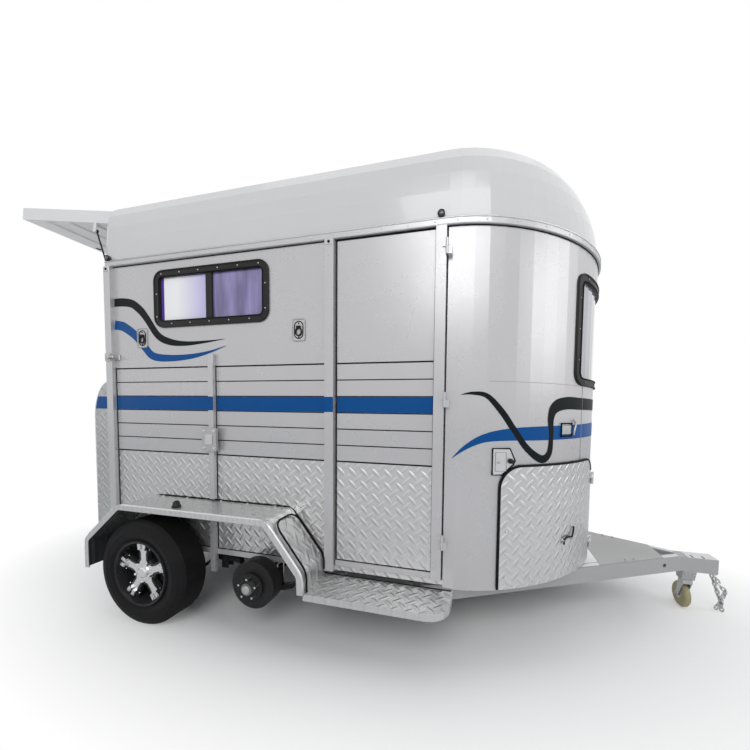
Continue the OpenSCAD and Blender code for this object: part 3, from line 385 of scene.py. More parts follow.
LOOKS = {
    "chassis": "black", "drawbar": "rail", "floor": "floor", "wall_right": "wall", "wall_left": "wall",
    "side_door": "wall", "nose": "skin", "roof": "roof", "gutter": "frame", "rear_frame": "frame",
    "side_window_frames": "plastic", "side_window_glass": "glass_side", "nose_window_frame": "plastic",
    "nose_window_glass": "glass_nose", "fender_right": "plate_top", "fender_left": "plate_top",
    "step_right": "plate_top", "step_left": "plate_top", "axles": "black", "springs": "black",
    "hatch_right": "plate_nose", "hatch_left": "plate_nose", "ramp": "plate_back", "flap": "flap",
    "strut_tube_right": "black", "strut_tube_left": "black", "strut_rod_right": "plastic",
    "strut_rod_left": "plastic", "castor_mount": "rail", "castor_fork": "zinc", "castor_wheel": "tan",
    "safety_chains": "zinc", "lamps": "lens", "tie_plates": "zinc", "divider": "pad", "locker": "floor",
}
for node, obj in NODES.items():
    look = LOOKS.get(node) or node.split("_")[0] + ("1" if "front" in node else "0")
    obj.data.materials.clear()
    obj.data.materials.append(M[look])


# Mesh helpers

def place(x, y, z):
    """A point given as x from the rear face."""
    return Vector((x + REAR_X, y, z))


def piece(name, bm, look, body="trailer", smooth=False):
    mesh = bpy.data.meshes.new(name)
    bmesh.ops.recalc_face_normals(bm, faces=bm.faces)
    bm.to_mesh(mesh)
    bm.free()
    if smooth:
        for poly in mesh.polygons:
            poly.use_smooth = True
    obj = bpy.data.objects.new(name, mesh)
    bpy.context.scene.collection.objects.link(obj)
    mesh.materials.append(M[look])
    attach(obj, body)
    return obj


def nose_point(t, z, out=0.0):
    """On the nose at angle t, in radians: -pi/2 is the right side's end, 0 the front."""
    a, b = NOSE_LEN + out, HALF_W + out
    return place(
        SIDE_LEN + a * abs(math.cos(t)) ** (2 / NOSE_POW),
        b * math.copysign(abs(math.sin(t)) ** (2 / NOSE_POW), t), z)


def nose_angle(x, y):
    """The angle of a point on the nose, x from the rear face."""
    across = abs(y / HALF_W) ** (NOSE_POW / 2)
    along = max(0.0, (x - SIDE_LEN) / NOSE_LEN) ** (NOSE_POW / 2)
    return math.copysign(math.atan2(across, along), y)


def curve_through(points, steps=8):
    """Catmull-Rom through tuples of numbers."""
    out = []
    ends = [points[0]] + list(points) + [points[-1]]
    for i in range(1, len(ends) - 2):
        p0, p1, p2, p3 = ends[i - 1:i + 3]
        for k in range(steps):
            t = k / steps
            out.append(tuple(
                0.5 * (2 * b + (c - a) * t + (2 * a - 5 * b + 4 * c - d) * t * t + (3 * b - a - 3 * c + d) * t ** 3)
                for a, b, c, d in zip(p0, p1, p2, p3)))
    out.append(tuple(points[-1]))
    return out


def ribbon(name, rows, surface, look, body="trailer", rows_across=2):
    """A decal: rows of (u, z, half width) laid on surface(u, z)."""
    path = curve_through(rows)
    bm = bmesh.new()
    last = None
    for i, (u, z, half) in enumerate(path):
        before, after = path[max(i - 1, 0)], path[min(i + 1, len(path) - 1)]
        here, there = surface(before[0], before[1]), surface(after[0], after[1])
        step = there - here
        flat = math.hypot(step.x, step.y)
        length = math.hypot(flat, step.z) or 1.0
        per_u = (surface(u + 0.001, z) - surface(u - 0.001, z)).length / 0.002
        du = -step.z / length * half / per_u
        dz = flat / length * half
        if after[0] < before[0]:
            dz = -dz
        row = [bm.verts.new(surface(u + du * k, z + dz * k)) for k in (-1.0, 0.0, 1.0)]
        if last:
            for a, b, c, d in zip(last, last[1:], row[1:], row):
                bm.faces.new((a, b, c, d))
        last = row
    return piece(name, bm, look, body)


# Decals

def side(x, z):
    return place(x, -HALF_W - 0.0009, z)


def side_left(x, z):
    return place(x, HALF_W + 0.0009, z)


def nose_skin(t, z):
    return nose_point(t, z, 0.0012)


def nose_skin_left(t, z):
    return nose_point(-t, z, 0.0012)


REAR_BLACK = [
    (0.058, 2.094, 0.028), (0.13, 2.093, 0.028), (0.216, 2.078, 0.027), (0.29, 2.03, 0.027),
    (0.348, 1.967, 0.025), (0.438, 1.854, 0.024), (0.535, 1.808, 0.022), (0.663, 1.791, 0.015),
    (0.82, 1.796, 0.008), (0.979, 1.809, 0.001),
]
REAR_BLUE = [
    (0.058, 1.941, 0.031), (0.1, 1.935, 0.031), (0.147, 1.921, 0.031), (0.24, 1.862, 0.029),
    (0.322, 1.779, 0.027), (0.396, 1.716, 0.026), (0.534, 1.699, 0.022), (0.71, 1.706, 0.016),
    (0.859, 1.731, 0.008), (0.988, 1.766, 0.001),
]
FRONT_BLACK = [
    (2.47, -0.87, 1.458, 0.001), (2.53, -0.86, 1.466, 0.008), (2.604, -0.839, 1.452, 0.013),
    (2.68, -0.81, 1.37, 0.017), (2.741, -0.786, 1.282, 0.017), (2.82, -0.745, 1.17, 0.018),
    (2.901, -0.693, 1.109, 0.022), (2.945, -0.66, 1.14, 0.02), (2.952, -0.652, 1.237, 0.017),
    (2.948, -0.655, 1.34, 0.024), (2.975, -0.637, 1.4, 0.034), (3.044, -0.575, 1.424, 0.036),
    (3.15, -0.46, 1.424, 0.036), (3.265, -0.277, 1.424, 0.036),
]
FRONT_BLUE = [
    (2.429, -0.875, 1.117, 0.001), (2.5, -0.862, 1.178, 0.012), (2.593, -0.842, 1.226, 0.022),
    (2.712, -0.799, 1.246, 0.032), (2.86, -0.72, 1.252, 0.038), (3.097, -0.521, 1.257, 0.041),
    (3.254, -0.299, 1.262, 0.043),
]
for tag, surface, nose_surface in (("right", side, nose_skin), ("left", side_left, nose_skin_left)):
    ribbon(f"swoosh_rear_black_{tag}", REAR_BLACK, surface, "ink")
    ribbon(f"swoosh_rear_blue_{tag}", REAR_BLUE, surface, "blue")
    for name, rows, look in (("blue", FRONT_BLUE, "blue"), ("black", FRONT_BLACK, "ink")):
        lift = 0.0004 if name == "black" else 0.0
        on_nose = [(nose_angle(x, y), z, half) for x, y, z, half in rows]
        end = on_nose[-1]
        on_nose.append((end[0] / 2, end[1], end[2]))
        on_nose.append((0.0, end[1], end[2]))
        ribbon(f"swoosh_front_{name}_{tag}", on_nose,
               lambda t, z, f=nose_surface, k=lift: f(t, z) + Vector((k, 0, 0)), look)


# Belt stripe

def strip(name, look, body, rows):
    """Flat strips, each row (x0, x1, z0, z1, y)."""
    bm = bmesh.new()
    for x0, x1, z0, z1, y in rows:
        corners = [place(x0, y, z0), place(x1, y, z0), place(x1, y, z1), place(x0, y, z1)]
        bm.faces.new([bm.verts.new(c) for c in corners])
    return piece(name, bm, look, body)


def ramp_stripe(side_sign):
    bm = bmesh.new()
    rows = []
    for k in range(9):
        z = STRIPE_Z[0] + (STRIPE_Z[1] - STRIPE_Z[0]) * k / 8
        back = -0.008 - 0.155 * math.cos(math.asin((z - 1.29) / 0.26)) + 0.003
        rows.append([bm.verts.new(place(x, side_sign * 0.8768, z)) for x in (back, -0.0085)])
    for (a, b), (c, d) in zip(rows, rows[1:]):
        bm.faces.new((a, b, d, c))
    return bm


for tag, sign in (("right", -1), ("left", 1)):
    z0, z1 = STRIPE_Z
    skin, post = sign * (HALF_W + 0.0008), sign * (POST_Y + 0.0008)
    spans = [(0.0625, 0.8655, skin), (0.9045, 1.6855, skin), (0.866, 0.904, post), (1.686, 1.742, post)]
    if tag == "left":
        spans += [(1.7425, 2.3255, skin)]
    strip(f"stripe_belt_{tag}", "blue", "trailer", [(a, b, z0, z1, y) for a, b, y in spans])
    piece(f"stripe_ramp_{tag}", ramp_stripe(sign), "blue", "ramp")
strip("stripe_door", "blue", "side_door", [(1.751, 2.3255, *STRIPE_Z, -HALF_W - 0.0008)])


# Solid helpers: x is measured from the rear face

def tube_mesh(bm, path, radius, sides=8, closed=False):
    """A round bar along points in the frame, with capped ends."""
    count = len(path)
    side_axis = None
    rings = []
    for i, point in enumerate(path):
        ahead = path[(i + 1) % count] if closed or i < count - 1 else point
        behind = path[i - 1] if closed or i > 0 else point
        along = (ahead - behind).normalized()
        if side_axis is None:
            side_axis = along.orthogonal()
        side_axis = (side_axis - along * side_axis.dot(along)).normalized()
        other = along.cross(side_axis)
        rings.append([
            bm.verts.new(point + (side_axis * math.cos(a) + other * math.sin(a)) * radius)
            for a in (2 * math.pi * k / sides for k in range(sides))])
    pairs = list(zip(rings, rings[1:])) + ([(rings[-1], rings[0])] if closed else [])
    for low, high in pairs:
        for k in range(sides):
            bm.faces.new((low[k], low[(k + 1) % sides], high[(k + 1) % sides], high[k]))
    if not closed:
        bm.faces.new(rings[0])
        bm.faces.new(list(reversed(rings[-1])))


def tube(name, path, radius, look, body="trailer", closed=False, sides=8):
    bm = bmesh.new()
    tube_mesh(bm, [Vector(p) for p in path], radius, sides, closed)
    return piece(name, bm, look, body, smooth=True)


def turned(bm, at, axis, profile, steps=16):
    """A turned solid: profile rows are (distance along the axis, radius)."""
    axis = Vector(axis).normalized()
    u = axis.orthogonal().normalized()
    v = axis.cross(u)
    rings = []
    for along, radius in profile:
        rings.append([
            bm.verts.new(Vector(at) + axis * along + (u * math.cos(a) + v * math.sin(a)) * max(radius, 1e-5))
            for a in (2 * math.pi * k / steps for k in range(steps))])
    for low, high in zip(rings, rings[1:]):
        for k in range(steps):
            bm.faces.new((low[k], low[(k + 1) % steps], high[(k + 1) % steps], high[k]))
    bm.faces.new(list(reversed(rings[0])))
    bm.faces.new(rings[-1])


def dome(bm, at, axis, r, steps=10):
    turned(bm, at, axis, [(-0.0005, r), (0.3 * r, 0.94 * r), (0.6 * r, 0.6 * r), (0.7 * r, 0.15 * r)], steps)


def bolt(bm, at, axis, r):
    """A hexagonal head on a washer."""
    turned(bm, at, axis, [(-0.0005, 1.7 * r), (0.3 * r, 1.65 * r), (0.31 * r, 1.15 * r)], 12)
    turned(bm, at, axis, [(0.3 * r, 1.12 * r), (1.1 * r, 1.12 * r), (1.35 * r, 0.8 * r)], 6)


def slab(bm, low, high, edge=0.002):
    """A bar with broken edges between two corners."""
    a, b = place(*low), place(*high)
    low_c = Vector([min(p, q) for p, q in zip(a, b)])
    high_c = Vector([max(p, q) for p, q in zip(a, b)])
    made = bmesh.ops.create_cube(bm, size=1.0)
    verts = made["verts"]
    bmesh.ops.scale(bm, vec=high_c - low_c, verts=verts)
    bmesh.ops.translate(bm, vec=(low_c + high_c) / 2, verts=verts)
    edges = list({e for vert in verts for e in vert.link_edges})
    bmesh.ops.bevel(bm, geom=edges, offset=edge, segments=1, affect="EDGES")


def rounded(points, radius, steps=5):
    """An open line with its inner corners rounded."""
    out = [Vector(points[0])]
    for a, b, c in zip(points, points[1:], points[2:]):
        a, b, c = Vector(a), Vector(b), Vector(c)
        before, after = (a - b).normalized(), (c - b).normalized()
        reach = min(radius, (a - b).length * 0.45, (c - b).length * 0.45)
        start, end = b + before * reach, b + after * reach
        for k in range(steps + 1):
            t = k / steps
            out.append(start * (1 - t) ** 2 + b * 2 * t * (1 - t) + end * t * t)
    out.append(Vector(points[-1]))
    return out


def edge_path(out, z, x0=0.0, steps=72):
    """The plan edge of the body at height z, from the right rear round the nose to the left rear."""
    turns = [math.radians(-90 + 180 * k / steps) for k in range(steps + 1)]
    ends = [place(x0, -HALF_W - out, z)], [place(x0, HALF_W + out, z)]
    return ends[0] + [nose_point(t, z, out) for t in turns] + ends[1]


# Gutter, roof, seals and painted shadow lines

tube("gutter_lip_low", edge_path(0.0145, 2.3415), 0.0032, "trim")
tube("gutter_lip_high", edge_path(0.0145, 2.3725), 0.0032, "trim")
# Painted shadow: a dark line just under the gutter stands in for the shadow of its lower edge.
tube("gutter_seal", edge_path(0.0012, 2.3335, 0.058), 0.0026, "seal")
tube("roof_bead", edge_path(0.0025, 2.382), 0.005, "roof")
roof_end = [(y, 2.377 + h * 0.475) for h, y in ((h, HALF_W - inset) for h, inset in ROOF_LEVELS)]
roof_end = [(-y, z) for y, z in roof_end] + [(y, z) for y, z in reversed(roof_end)]
tube("roof_rear_bead", [place(0.004, y * 0.995, z - 0.005) for y, z in roof_end], 0.007, "roof", sides=10)

bm = bmesh.new()
path = edge_path(0.014, 2.357, 0.06)
for a, b in zip(path, path[1:]):
    n = max(1, round((b - a).length / 0.15))
    for k in range(n):
        point = a.lerp(b, (k + 0.5) / n)
        if (b - a).length > 0.12 or k == 0 and path.index(a) % 4 == 2:
            flat = Vector((b.y - a.y, a.x - b.x, 0)).normalized()
            dome(bm, point, flat, 0.0045)
piece("gutter_rivets", bm, "trim", smooth=True)


def seals(name, body, bars):
    """Black strips, rubber seals and some painted shadow lines, each (x0, x1, z0, z1, sign of the side)."""
    bm = bmesh.new()
    for x0, x1, z0, z1, sign in bars:
        slab(bm, (x0, sign * (HALF_W - 0.0005), z0), (x1, sign * (HALF_W + 0.0022), z1), 0.0008)
    return piece(name, bm, "seal", body)


def groove_lines(x0, x1, sign):
    out = []
    for i, z in enumerate(GROOVES):
        # Dark plank joints; the belt and top lines are thicker, and at the top the dark strip also stands in for the
        # shadow under a trim lip, a painted shadow.
        half = 0.0042 if i in (0, 6) else 0.0028
        out.append((x0, x1, z - half, z + half, sign))
    return out


for tag, sign in (("right", -1), ("left", 1)):
    lines = groove_lines(0.0625, 0.8655, sign) + groove_lines(0.9045, 1.6855, sign)
    # In this list, the strip from 0.9045 to 0.909, right of the thin post, is the post's painted shadow; the rest are
    # rubber seals.
    lines += [
        (0.0565, 0.0625, 0.446, 1.645, sign), (0.9045, 0.909, 0.446, 1.645, sign),
        (1.6815, 1.6855, 0.446, 1.645, sign), (0.0565, 0.8655, 0.4445, 0.449, sign),
        (0.9045, 1.6855, 0.4445, 0.449, sign), (0.8615, 0.8655, 0.446, 1.066, sign),
    ]
    if tag == "left":
        lines += groove_lines(1.7425, 2.3255, sign)
        lines += [(1.7425, 1.747, 0.412, 1.645, sign), (2.321, 2.3255, 0.412, 1.645, sign)]
    seals(f"wall_seals_and_shadow_{tag}", "trailer", lines)
seals("door_seals", "side_door", groove_lines(1.7505, 2.3255, -1) + [
    (1.7505, 1.7555, 0.476, 2.33, -1), (2.3205, 2.3255, 0.476, 2.33, -1), (1.7505, 2.3255, 0.4745, 0.479, -1),
    (1.7505, 2.3255, 2.326, 2.3315, -1),
])

# Post caps, at the heads of the posts
bm = bmesh.new()
for sign in (-1, 1):
    for name in ("rear", "mid", "door"):
        if name == "door" and sign < 0:
            continue
        x0, x1 = POSTS[name]
        slab(bm, (x0 + 0.002, sign * (POST_Y - 0.001), 2.302), (x1 - 0.002, sign * (POST_Y + 0.003), 2.335))
    slab(bm, (0.8655, sign * (HALF_W - 0.001), 1.62), (0.9045, sign * (POST_Y + 0.0008), 1.716), 0.004)
piece("post_caps", bm, "frame")

bm = bmesh.new()
for sign in (-1, 1):
    for x in (0.028, 2.354, 1.714):
        if x > 2.0 and sign < 0:
            continue
        turned(bm, place(x, sign * (POST_Y + 0.0025), 2.318), (0, sign, 0), [(0, 0.009), (0.003, 0.008)], 12)
piece("post_plugs", bm, "seal", smooth=True)


# Windows: screws and beads

def frame_outline(width, height, radius, steps=6):
    pts = []
    for cx, cz, start in ((1, 1, 0), (-1, 1, 90), (-1, -1, 180), (1, -1, 270)):
        for k in range(steps + 1):
            a = math.radians(start + 90 * k / steps)
            pts.append((cx * (width / 2 - radius) + radius * math.cos(a), cz * (height / 2 - radius) + radius * math.sin(a)))
    return pts


def along(outline, step):
    """Points a step apart along a closed outline, with their directions."""
    out, left = [], step / 2
    for (x0, z0), (x1, z1) in zip(outline, outline[1:] + outline[:1]):
        length = math.hypot(x1 - x0, z1 - z0)
        at = left
        while at < length:
            k = at / length
            out.append((x0 + (x1 - x0) * k, z0 + (z1 - z0) * k))
            at += step
        left = at - length
    return out


WINDOW = (0.863, 2.089)
for tag, sign in (("right", -1), ("left", 1)):
    y = sign * (HALF_W + 0.008)
    ring = frame_outline(0.876, 0.367, 0.068)
    tube(f"window_bead_outer_{tag}", [place(WINDOW[0] + x, y, WINDOW[1] + z) for x, z in ring], 0.005, "plastic", closed=True)
    ring = frame_outline(0.8, 0.291, 0.03)
    tube(f"window_bead_inner_{tag}", [place(WINDOW[0] + x, y, WINDOW[1] + z) for x, z in ring], 0.004, "seal", closed=True)
    bm = bmesh.new()
    for x, z in along(frame_outline(0.838, 0.329, 0.05), 0.15):
        dome(bm, place(WINDOW[0] + x, y, WINDOW[1] + z), (0, sign, 0), 0.005)
    piece(f"window_screws_{tag}", bm, "zinc", smooth=True)


def nose_front(y, z, out):
    """A point on the nose straight ahead of (y, z)."""
    t = math.copysign(math.asin(min(1.0, abs(y / (HALF_W + out)) ** (NOSE_POW / 2))), y)
    return nose_point(t, z, out)


ring = frame_outline(1.072, 0.652, 0.068, 8)
dense = along(ring, 0.03)
tube("nose_bead_outer", [nose_front(y, 1.864 + z, 0.0082) for y, z in dense], 0.005, "plastic", closed=True)
dense = along(frame_outline(0.996, 0.576, 0.03, 8), 0.03)
tube("nose_bead_inner", [nose_front(y, 1.864 + z, 0.0082) for y, z in dense], 0.004, "seal", closed=True)
bm = bmesh.new()
for y, z in along(frame_outline(1.034, 0.614, 0.05, 8), 0.18):
    point = nose_front(y, 1.864 + z, 0.008)
    dome(bm, point, (nose_front(y, 1.864 + z, 0.02) - point), 0.005)
piece("nose_window_screws", bm, "zinc", smooth=True)


# Hatches: rubber seals, hold-backs and locks

HATCH_REAR = Vector((SIDE_LEN + 0.288, -HALF_W * (1 - (0.288 / NOSE_LEN) ** NOSE_POW) ** (1 / NOSE_POW)))
HATCH_FRONT = Vector((SIDE_LEN + NOSE_LEN * (1 - (0.26 / HALF_W) ** NOSE_POW) ** (1 / NOSE_POW), -0.26))
HATCH_MID = (HATCH_REAR + HATCH_FRONT) / 2
HATCH_DIR = (HATCH_FRONT - HATCH_REAR).normalized()
HATCH_W = (HATCH_FRONT - HATCH_REAR).length


def hatch_point(u, z, out, sign=-1):
    """On the hatch's face, u along its chord from its middle; sign is -1 on the right."""
    low, high = -math.pi / 2, 0.0
    for _ in range(40):
        mid = (low + high) / 2
        p = nose_point(mid, z, out)
        if (Vector((p.x - REAR_X, p.y)) - HATCH_MID).dot(HATCH_DIR) < u:
            low = mid
        else:
            high = mid
    p = nose_point(low, z, out)
    return Vector((p.x, p.y if sign < 0 else -p.y, p.z))


for tag, sign in (("right", -1), ("left", 1)):
    w, top, r = HATCH_W / 2 + 0.001, 1.076, 0.12
    outline = [(-w, 0.4 + 0.02 * k) for k in range(28)]
    outline += [(-w + r - r * math.cos(a), top - r + r * math.sin(a)) for a in (math.radians(9 * k) for k in range(11))]
    outline += [(-w + r + (2 * w - 2 * r) * k / 18, top) for k in range(1, 19)]
    outline += [(w - r + r * math.sin(a), top - r + r * math.cos(a)) for a in (math.radians(9 * k) for k in range(1, 9))]
    tube(f"hatch_seal_{tag}", [hatch_point(u, z, 0.0085, sign) for u, z in outline], 0.0072, "seal", f"hatch_{tag}")
    bm = bmesh.new()
    for u, z in ((-w + 0.04, 0.46), (-w + 0.04, 0.72), (0.0, 0.43), (0.22, 0.43), (-0.22, 0.43)):
        p = hatch_point(u, z, 0.0118, sign)
        dome(bm, p, hatch_point(u, z, 0.03, sign) - p, 0.006)
    piece(f"hatch_rivets_{tag}", bm, "trim", f"hatch_{tag}", smooth=True)


def nose_patch(bm, outline, low, high, sign, split=0.03):
    """A plate with the outline (x, z) laid on the nose, from low to high off the skin."""
    middle = (sum(x for x, z in outline) / len(outline), sum(z for x, z in outline) / len(outline))
    for (a, b) in zip(outline, outline[1:] + outline[:1]):
        tri = []
        for out in (low, high):
            row = []
            for x, z in (middle, a, b):
                y = -HALF_W * (1 - (max(0.0, x - SIDE_LEN) / NOSE_LEN) ** NOSE_POW) ** (1 / NOSE_POW)
                p = nose_point(nose_angle(x, y), z, out)
                row.append(bm.verts.new((p.x, p.y if sign < 0 else -p.y, p.z)))
            tri.append(row)
        bm.faces.new(tri[1])
        bm.faces.new((tri[0][1], tri[0][2], tri[1][2], tri[1][1]))
    bmesh.ops.remove_doubles(bm, verts=bm.verts, dist=0.00005)


def on_nose(x, z, out, sign):
    y = -HALF_W * (1 - (max(0.0, x - SIDE_LEN) / NOSE_LEN) ** NOSE_POW) ** (1 / NOSE_POW)
    p = nose_point(nose_angle(x, y), z, out)
    return Vector((p.x, p.y if sign < 0 else -p.y, p.z))


LOCK = [(2.64, 1.03), (2.69, 1.03), (2.75, 1.086), (2.759, 1.104), (2.73, 1.172), (2.64, 1.172)]
for tag, sign in (("right", -1), ("left", 1)):
    bm = bmesh.new()
    nose_patch(bm, LOCK, 0.0, 0.007, sign)
    piece(f"lock_plate_{tag}", bm, "trim")
    tube(f"lock_rim_{tag}", [on_nose(x, z, 0.006, sign) for x, z in LOCK], 0.0045, "seal", closed=True)
    inner = [(2.655, 1.05), (2.712, 1.05), (2.712, 1.152), (2.655, 1.152)]
    tube(f"lock_tray_{tag}", [on_nose(x, z, 0.0075, sign) for x, z in inner], 0.0028, "rail", closed=True)
    bm = bmesh.new()
    p, q = on_nose(2.732, 1.105, 0.007, sign), on_nose(2.732, 1.105, 0.03, sign)
    turned(bm, p, q - p, [(0, 0.014), (0.008, 0.014), (0.01, 0.009), (0.02, 0.008), (0.022, 0.012), (0.028, 0.011), (0.03, 0.006)])
    piece(f"lock_knob_{tag}", bm, "plastic", smooth=True)
    bm = bmesh.new()
    p, q = on_nose(2.672, 1.1, 0.007, sign), on_nose(2.672, 1.1, 0.02, sign)
    turned(bm, p, q - p, [(0, 0.008), (0.004, 0.008), (0.005, 0.004)], 12)
    piece(f"lock_barrel_{tag}", bm, "zinc", smooth=True)
    frame_line = [(3.02, 1.233), (3.09, 1.233), (3.09, 1.307), (3.02, 1.307)]
    tube(f"holdback_frame_{tag}", [on_nose(x, z, 0.006, sign) for x, z in frame_line], 0.005, "seal", closed=True, sides=6)
    bm = bmesh.new()
    nose_patch(bm, [(3.026, 1.245), (3.086, 1.245), (3.086, 1.295), (3.026, 1.295)], 0.0, 0.006, sign)
    piece(f"holdback_plate_{tag}", bm, "zinc")
    hook = [(3.098, 1.24), (3.104, 1.27), (3.112, 1.3), (3.108, 1.322), (3.098, 1.328)]
    tube(f"holdback_hook_{tag}", [on_nose(x, z, 0.012, sign) for x, z in hook], 0.006, "zinc")
    hook = [(-0.04, 0.6), (-0.04, 0.63), (0.0, 0.638), (0.04, 0.628), (0.052, 0.66), (0.055, 0.69)]
    path = [hatch_point(u + 0.06, z, 0.022, sign) for u, z in hook]
    tube(f"hatch_hook_{tag}", path, 0.0055, "black", f"hatch_{tag}")
    bm = bmesh.new()
    for u in (0.02, 0.1):
        p = hatch_point(u, 0.622, 0.0118, sign)
        turned(bm, p, hatch_point(u, 0.622, 0.05, sign) - p, [(0, 0.011), (0.003, 0.011), (0.004, 0.006), (0.013, 0.006)], 12)
    piece(f"hatch_hook_feet_{tag}", bm, "zinc", f"hatch_{tag}", smooth=True)
seam = [on_nose(3.172, z, 0.0006, -1) for z in (1.087, 1.2, 1.32, 1.44, 1.531)]
tube("nose_seam_right", seam, 0.0013, "rail")
tube("nose_seam_left", [(p.x, -p.y, p.z) for p in seam], 0.0013, "rail")
tube("nose_seam_level", [nose_point(math.radians(-74 + 148 * k / 60), 1.531, 0.0004) for k in range(61)], 0.0011, "rail")


# Fenders, steps and the rear corners

def side_line(points, y):
    return [place(x, y, z) for x, z in points]


for tag, sign in (("right", -1), ("left", 1)):
    line = rounded([place(x, 0, z) for x, z in FENDER], 0.06)
    rim_line = [Vector((p.x, sign * 1.1255, p.z - 0.002)) for p in line]
    tube(f"fender_rim_{tag}", rim_line, 0.0095, "trim", sides=10)
    tube(f"fender_seal_{tag}", [Vector((p.x, sign * 0.8835, p.z + 0.003)) for p in line], 0.0048, "seal")
    band = [(0.388, 1.098), (0.49, 1.098), (0.742, 1.098), (0.742, 0.905), (0.49, 0.905), (0.42, 0.905)]
    loop = []
    for z, y in band:
        x = 1.482 + (0.742 - z) / 0.237 * 0.186 if z > 0.488 else 1.6755 + (0.488 - z) * 0.05
        loop.append(place(x + 0.0075, sign * y, z + (0.0055 if z > 0.488 else 0.0)))
    tube(f"fender_panel_line_{tag}", rounded(loop, 0.07, 6), 0.0052, "seal")
    bm = bmesh.new()
    turned(bm, place(0.79, sign * 1.07, 0.764), (0, 0, 1), [(0, 0.024), (0.012, 0.024), (0.018, 0.019), (0.034, 0.017), (0.041, 0.008)])
    piece(f"fender_knob_{tag}", bm, "plastic", smooth=True)
    bm = bmesh.new()
    for x in (0.48, 0.68, 0.95, 1.15, 1.35):
        bolt(bm, place(x, sign * 0.9, 0.765), (0, 0, 1), 0.0055)
    piece(f"fender_bolts_{tag}", bm, "zinc")
    step_line = [(1.684, 1.1115), (2.34, 1.1115), (2.405, 1.085), (2.4435, 1.02), (2.4435, 0.895)]
    tube(f"step_edge_{tag}", rounded([place(x, sign * y, 0.379) for x, y in step_line], 0.04), 0.0056, "trim")
    tube(f"step_seal_{tag}", side_line([(1.684, 0.387), (2.44, 0.387)], sign * 0.888), 0.0035, "seal")
    bm = bmesh.new()
    slab(bm, (-0.215, sign * 0.83, 0.352), (-0.16, sign * 0.87, 0.402), 0.006)
    slab(bm, (-0.2, sign * 0.835, 0.402), (-0.16, sign * 0.865, 0.45), 0.004)
    piece(f"ramp_foot_{tag}", bm, "plastic", "ramp")
    ring = [place(-0.128 + 0.03 * math.cos(a), sign * 0.882, 0.383 + 0.03 * math.sin(a)) for a in (math.radians(20 * k) for k in range(18))]
    tube(f"ramp_ring_{tag}", ring, 0.0048, "zinc", "ramp", closed=True)
    bm = bmesh.new()
    slab(bm, (-0.142, sign * 0.8755, 0.398), (-0.114, sign * 0.888, 0.432))
    bolt(bm, place(-0.128, sign * 0.888, 0.415), (0, sign, 0), 0.0045)
    piece(f"ramp_ring_bracket_{tag}", bm, "zinc", "ramp")


# Ramp: edge trim, mat, latches and a pull; its back is toward -x

tube("ramp_top_trim", [place(-0.0135, y, 1.5465) for y in (-0.87, 0.87)], 0.004, "trim", "ramp")
for tag, sign in (("right", -1), ("left", 1)):
    arc = [(-0.008 - 0.1565 * math.cos(a), 1.29 + 0.2615 * math.sin(a)) for a in (math.radians(9 * k) for k in range(10))]
    rim = [(-0.1645, 0.354), (-0.1645, 0.8)] + arc
    tube(f"ramp_rim_{tag}", side_line(rim, sign * 0.8745), 0.0042, "trim", "ramp")
bm = bmesh.new()
for sign in (-1, 1):
    slab(bm, (-0.177, sign * 0.62, 1.2), (-0.163, sign * 0.72, 1.26), 0.004)
    slab(bm, (-0.186, sign * 0.655, 1.214), (-0.176, sign * 0.685, 1.246), 0.003)
piece("ramp_latch_plates", bm, "zinc", "ramp")
tube("ramp_pull", rounded([place(x, y, 1.05) for x, y in ((-0.164, -0.09), (-0.2, -0.075), (-0.2, 0.075), (-0.164, 0.09))], 0.02), 0.009, "plastic", "ramp")
bm = bmesh.new()
for z in (0.46, 0.72, 0.98, 1.24):
    for y in (-0.8, -0.4, 0.4, 0.8):
        dome(bm, place(-0.163, y, z), (-1, 0, 0), 0.006)
piece("ramp_rivets", bm, "trim", "ramp", smooth=True)
bm = bmesh.new()
for k in range(28):
    z = 0.42 + 0.03 * k
    slab(bm, (-0.1335, -0.8, z), (-0.1285, 0.8, z + 0.012), 0.001)
piece("ramp_mat_ribs", bm, "floor", "ramp")


# Lamps, plates and catches

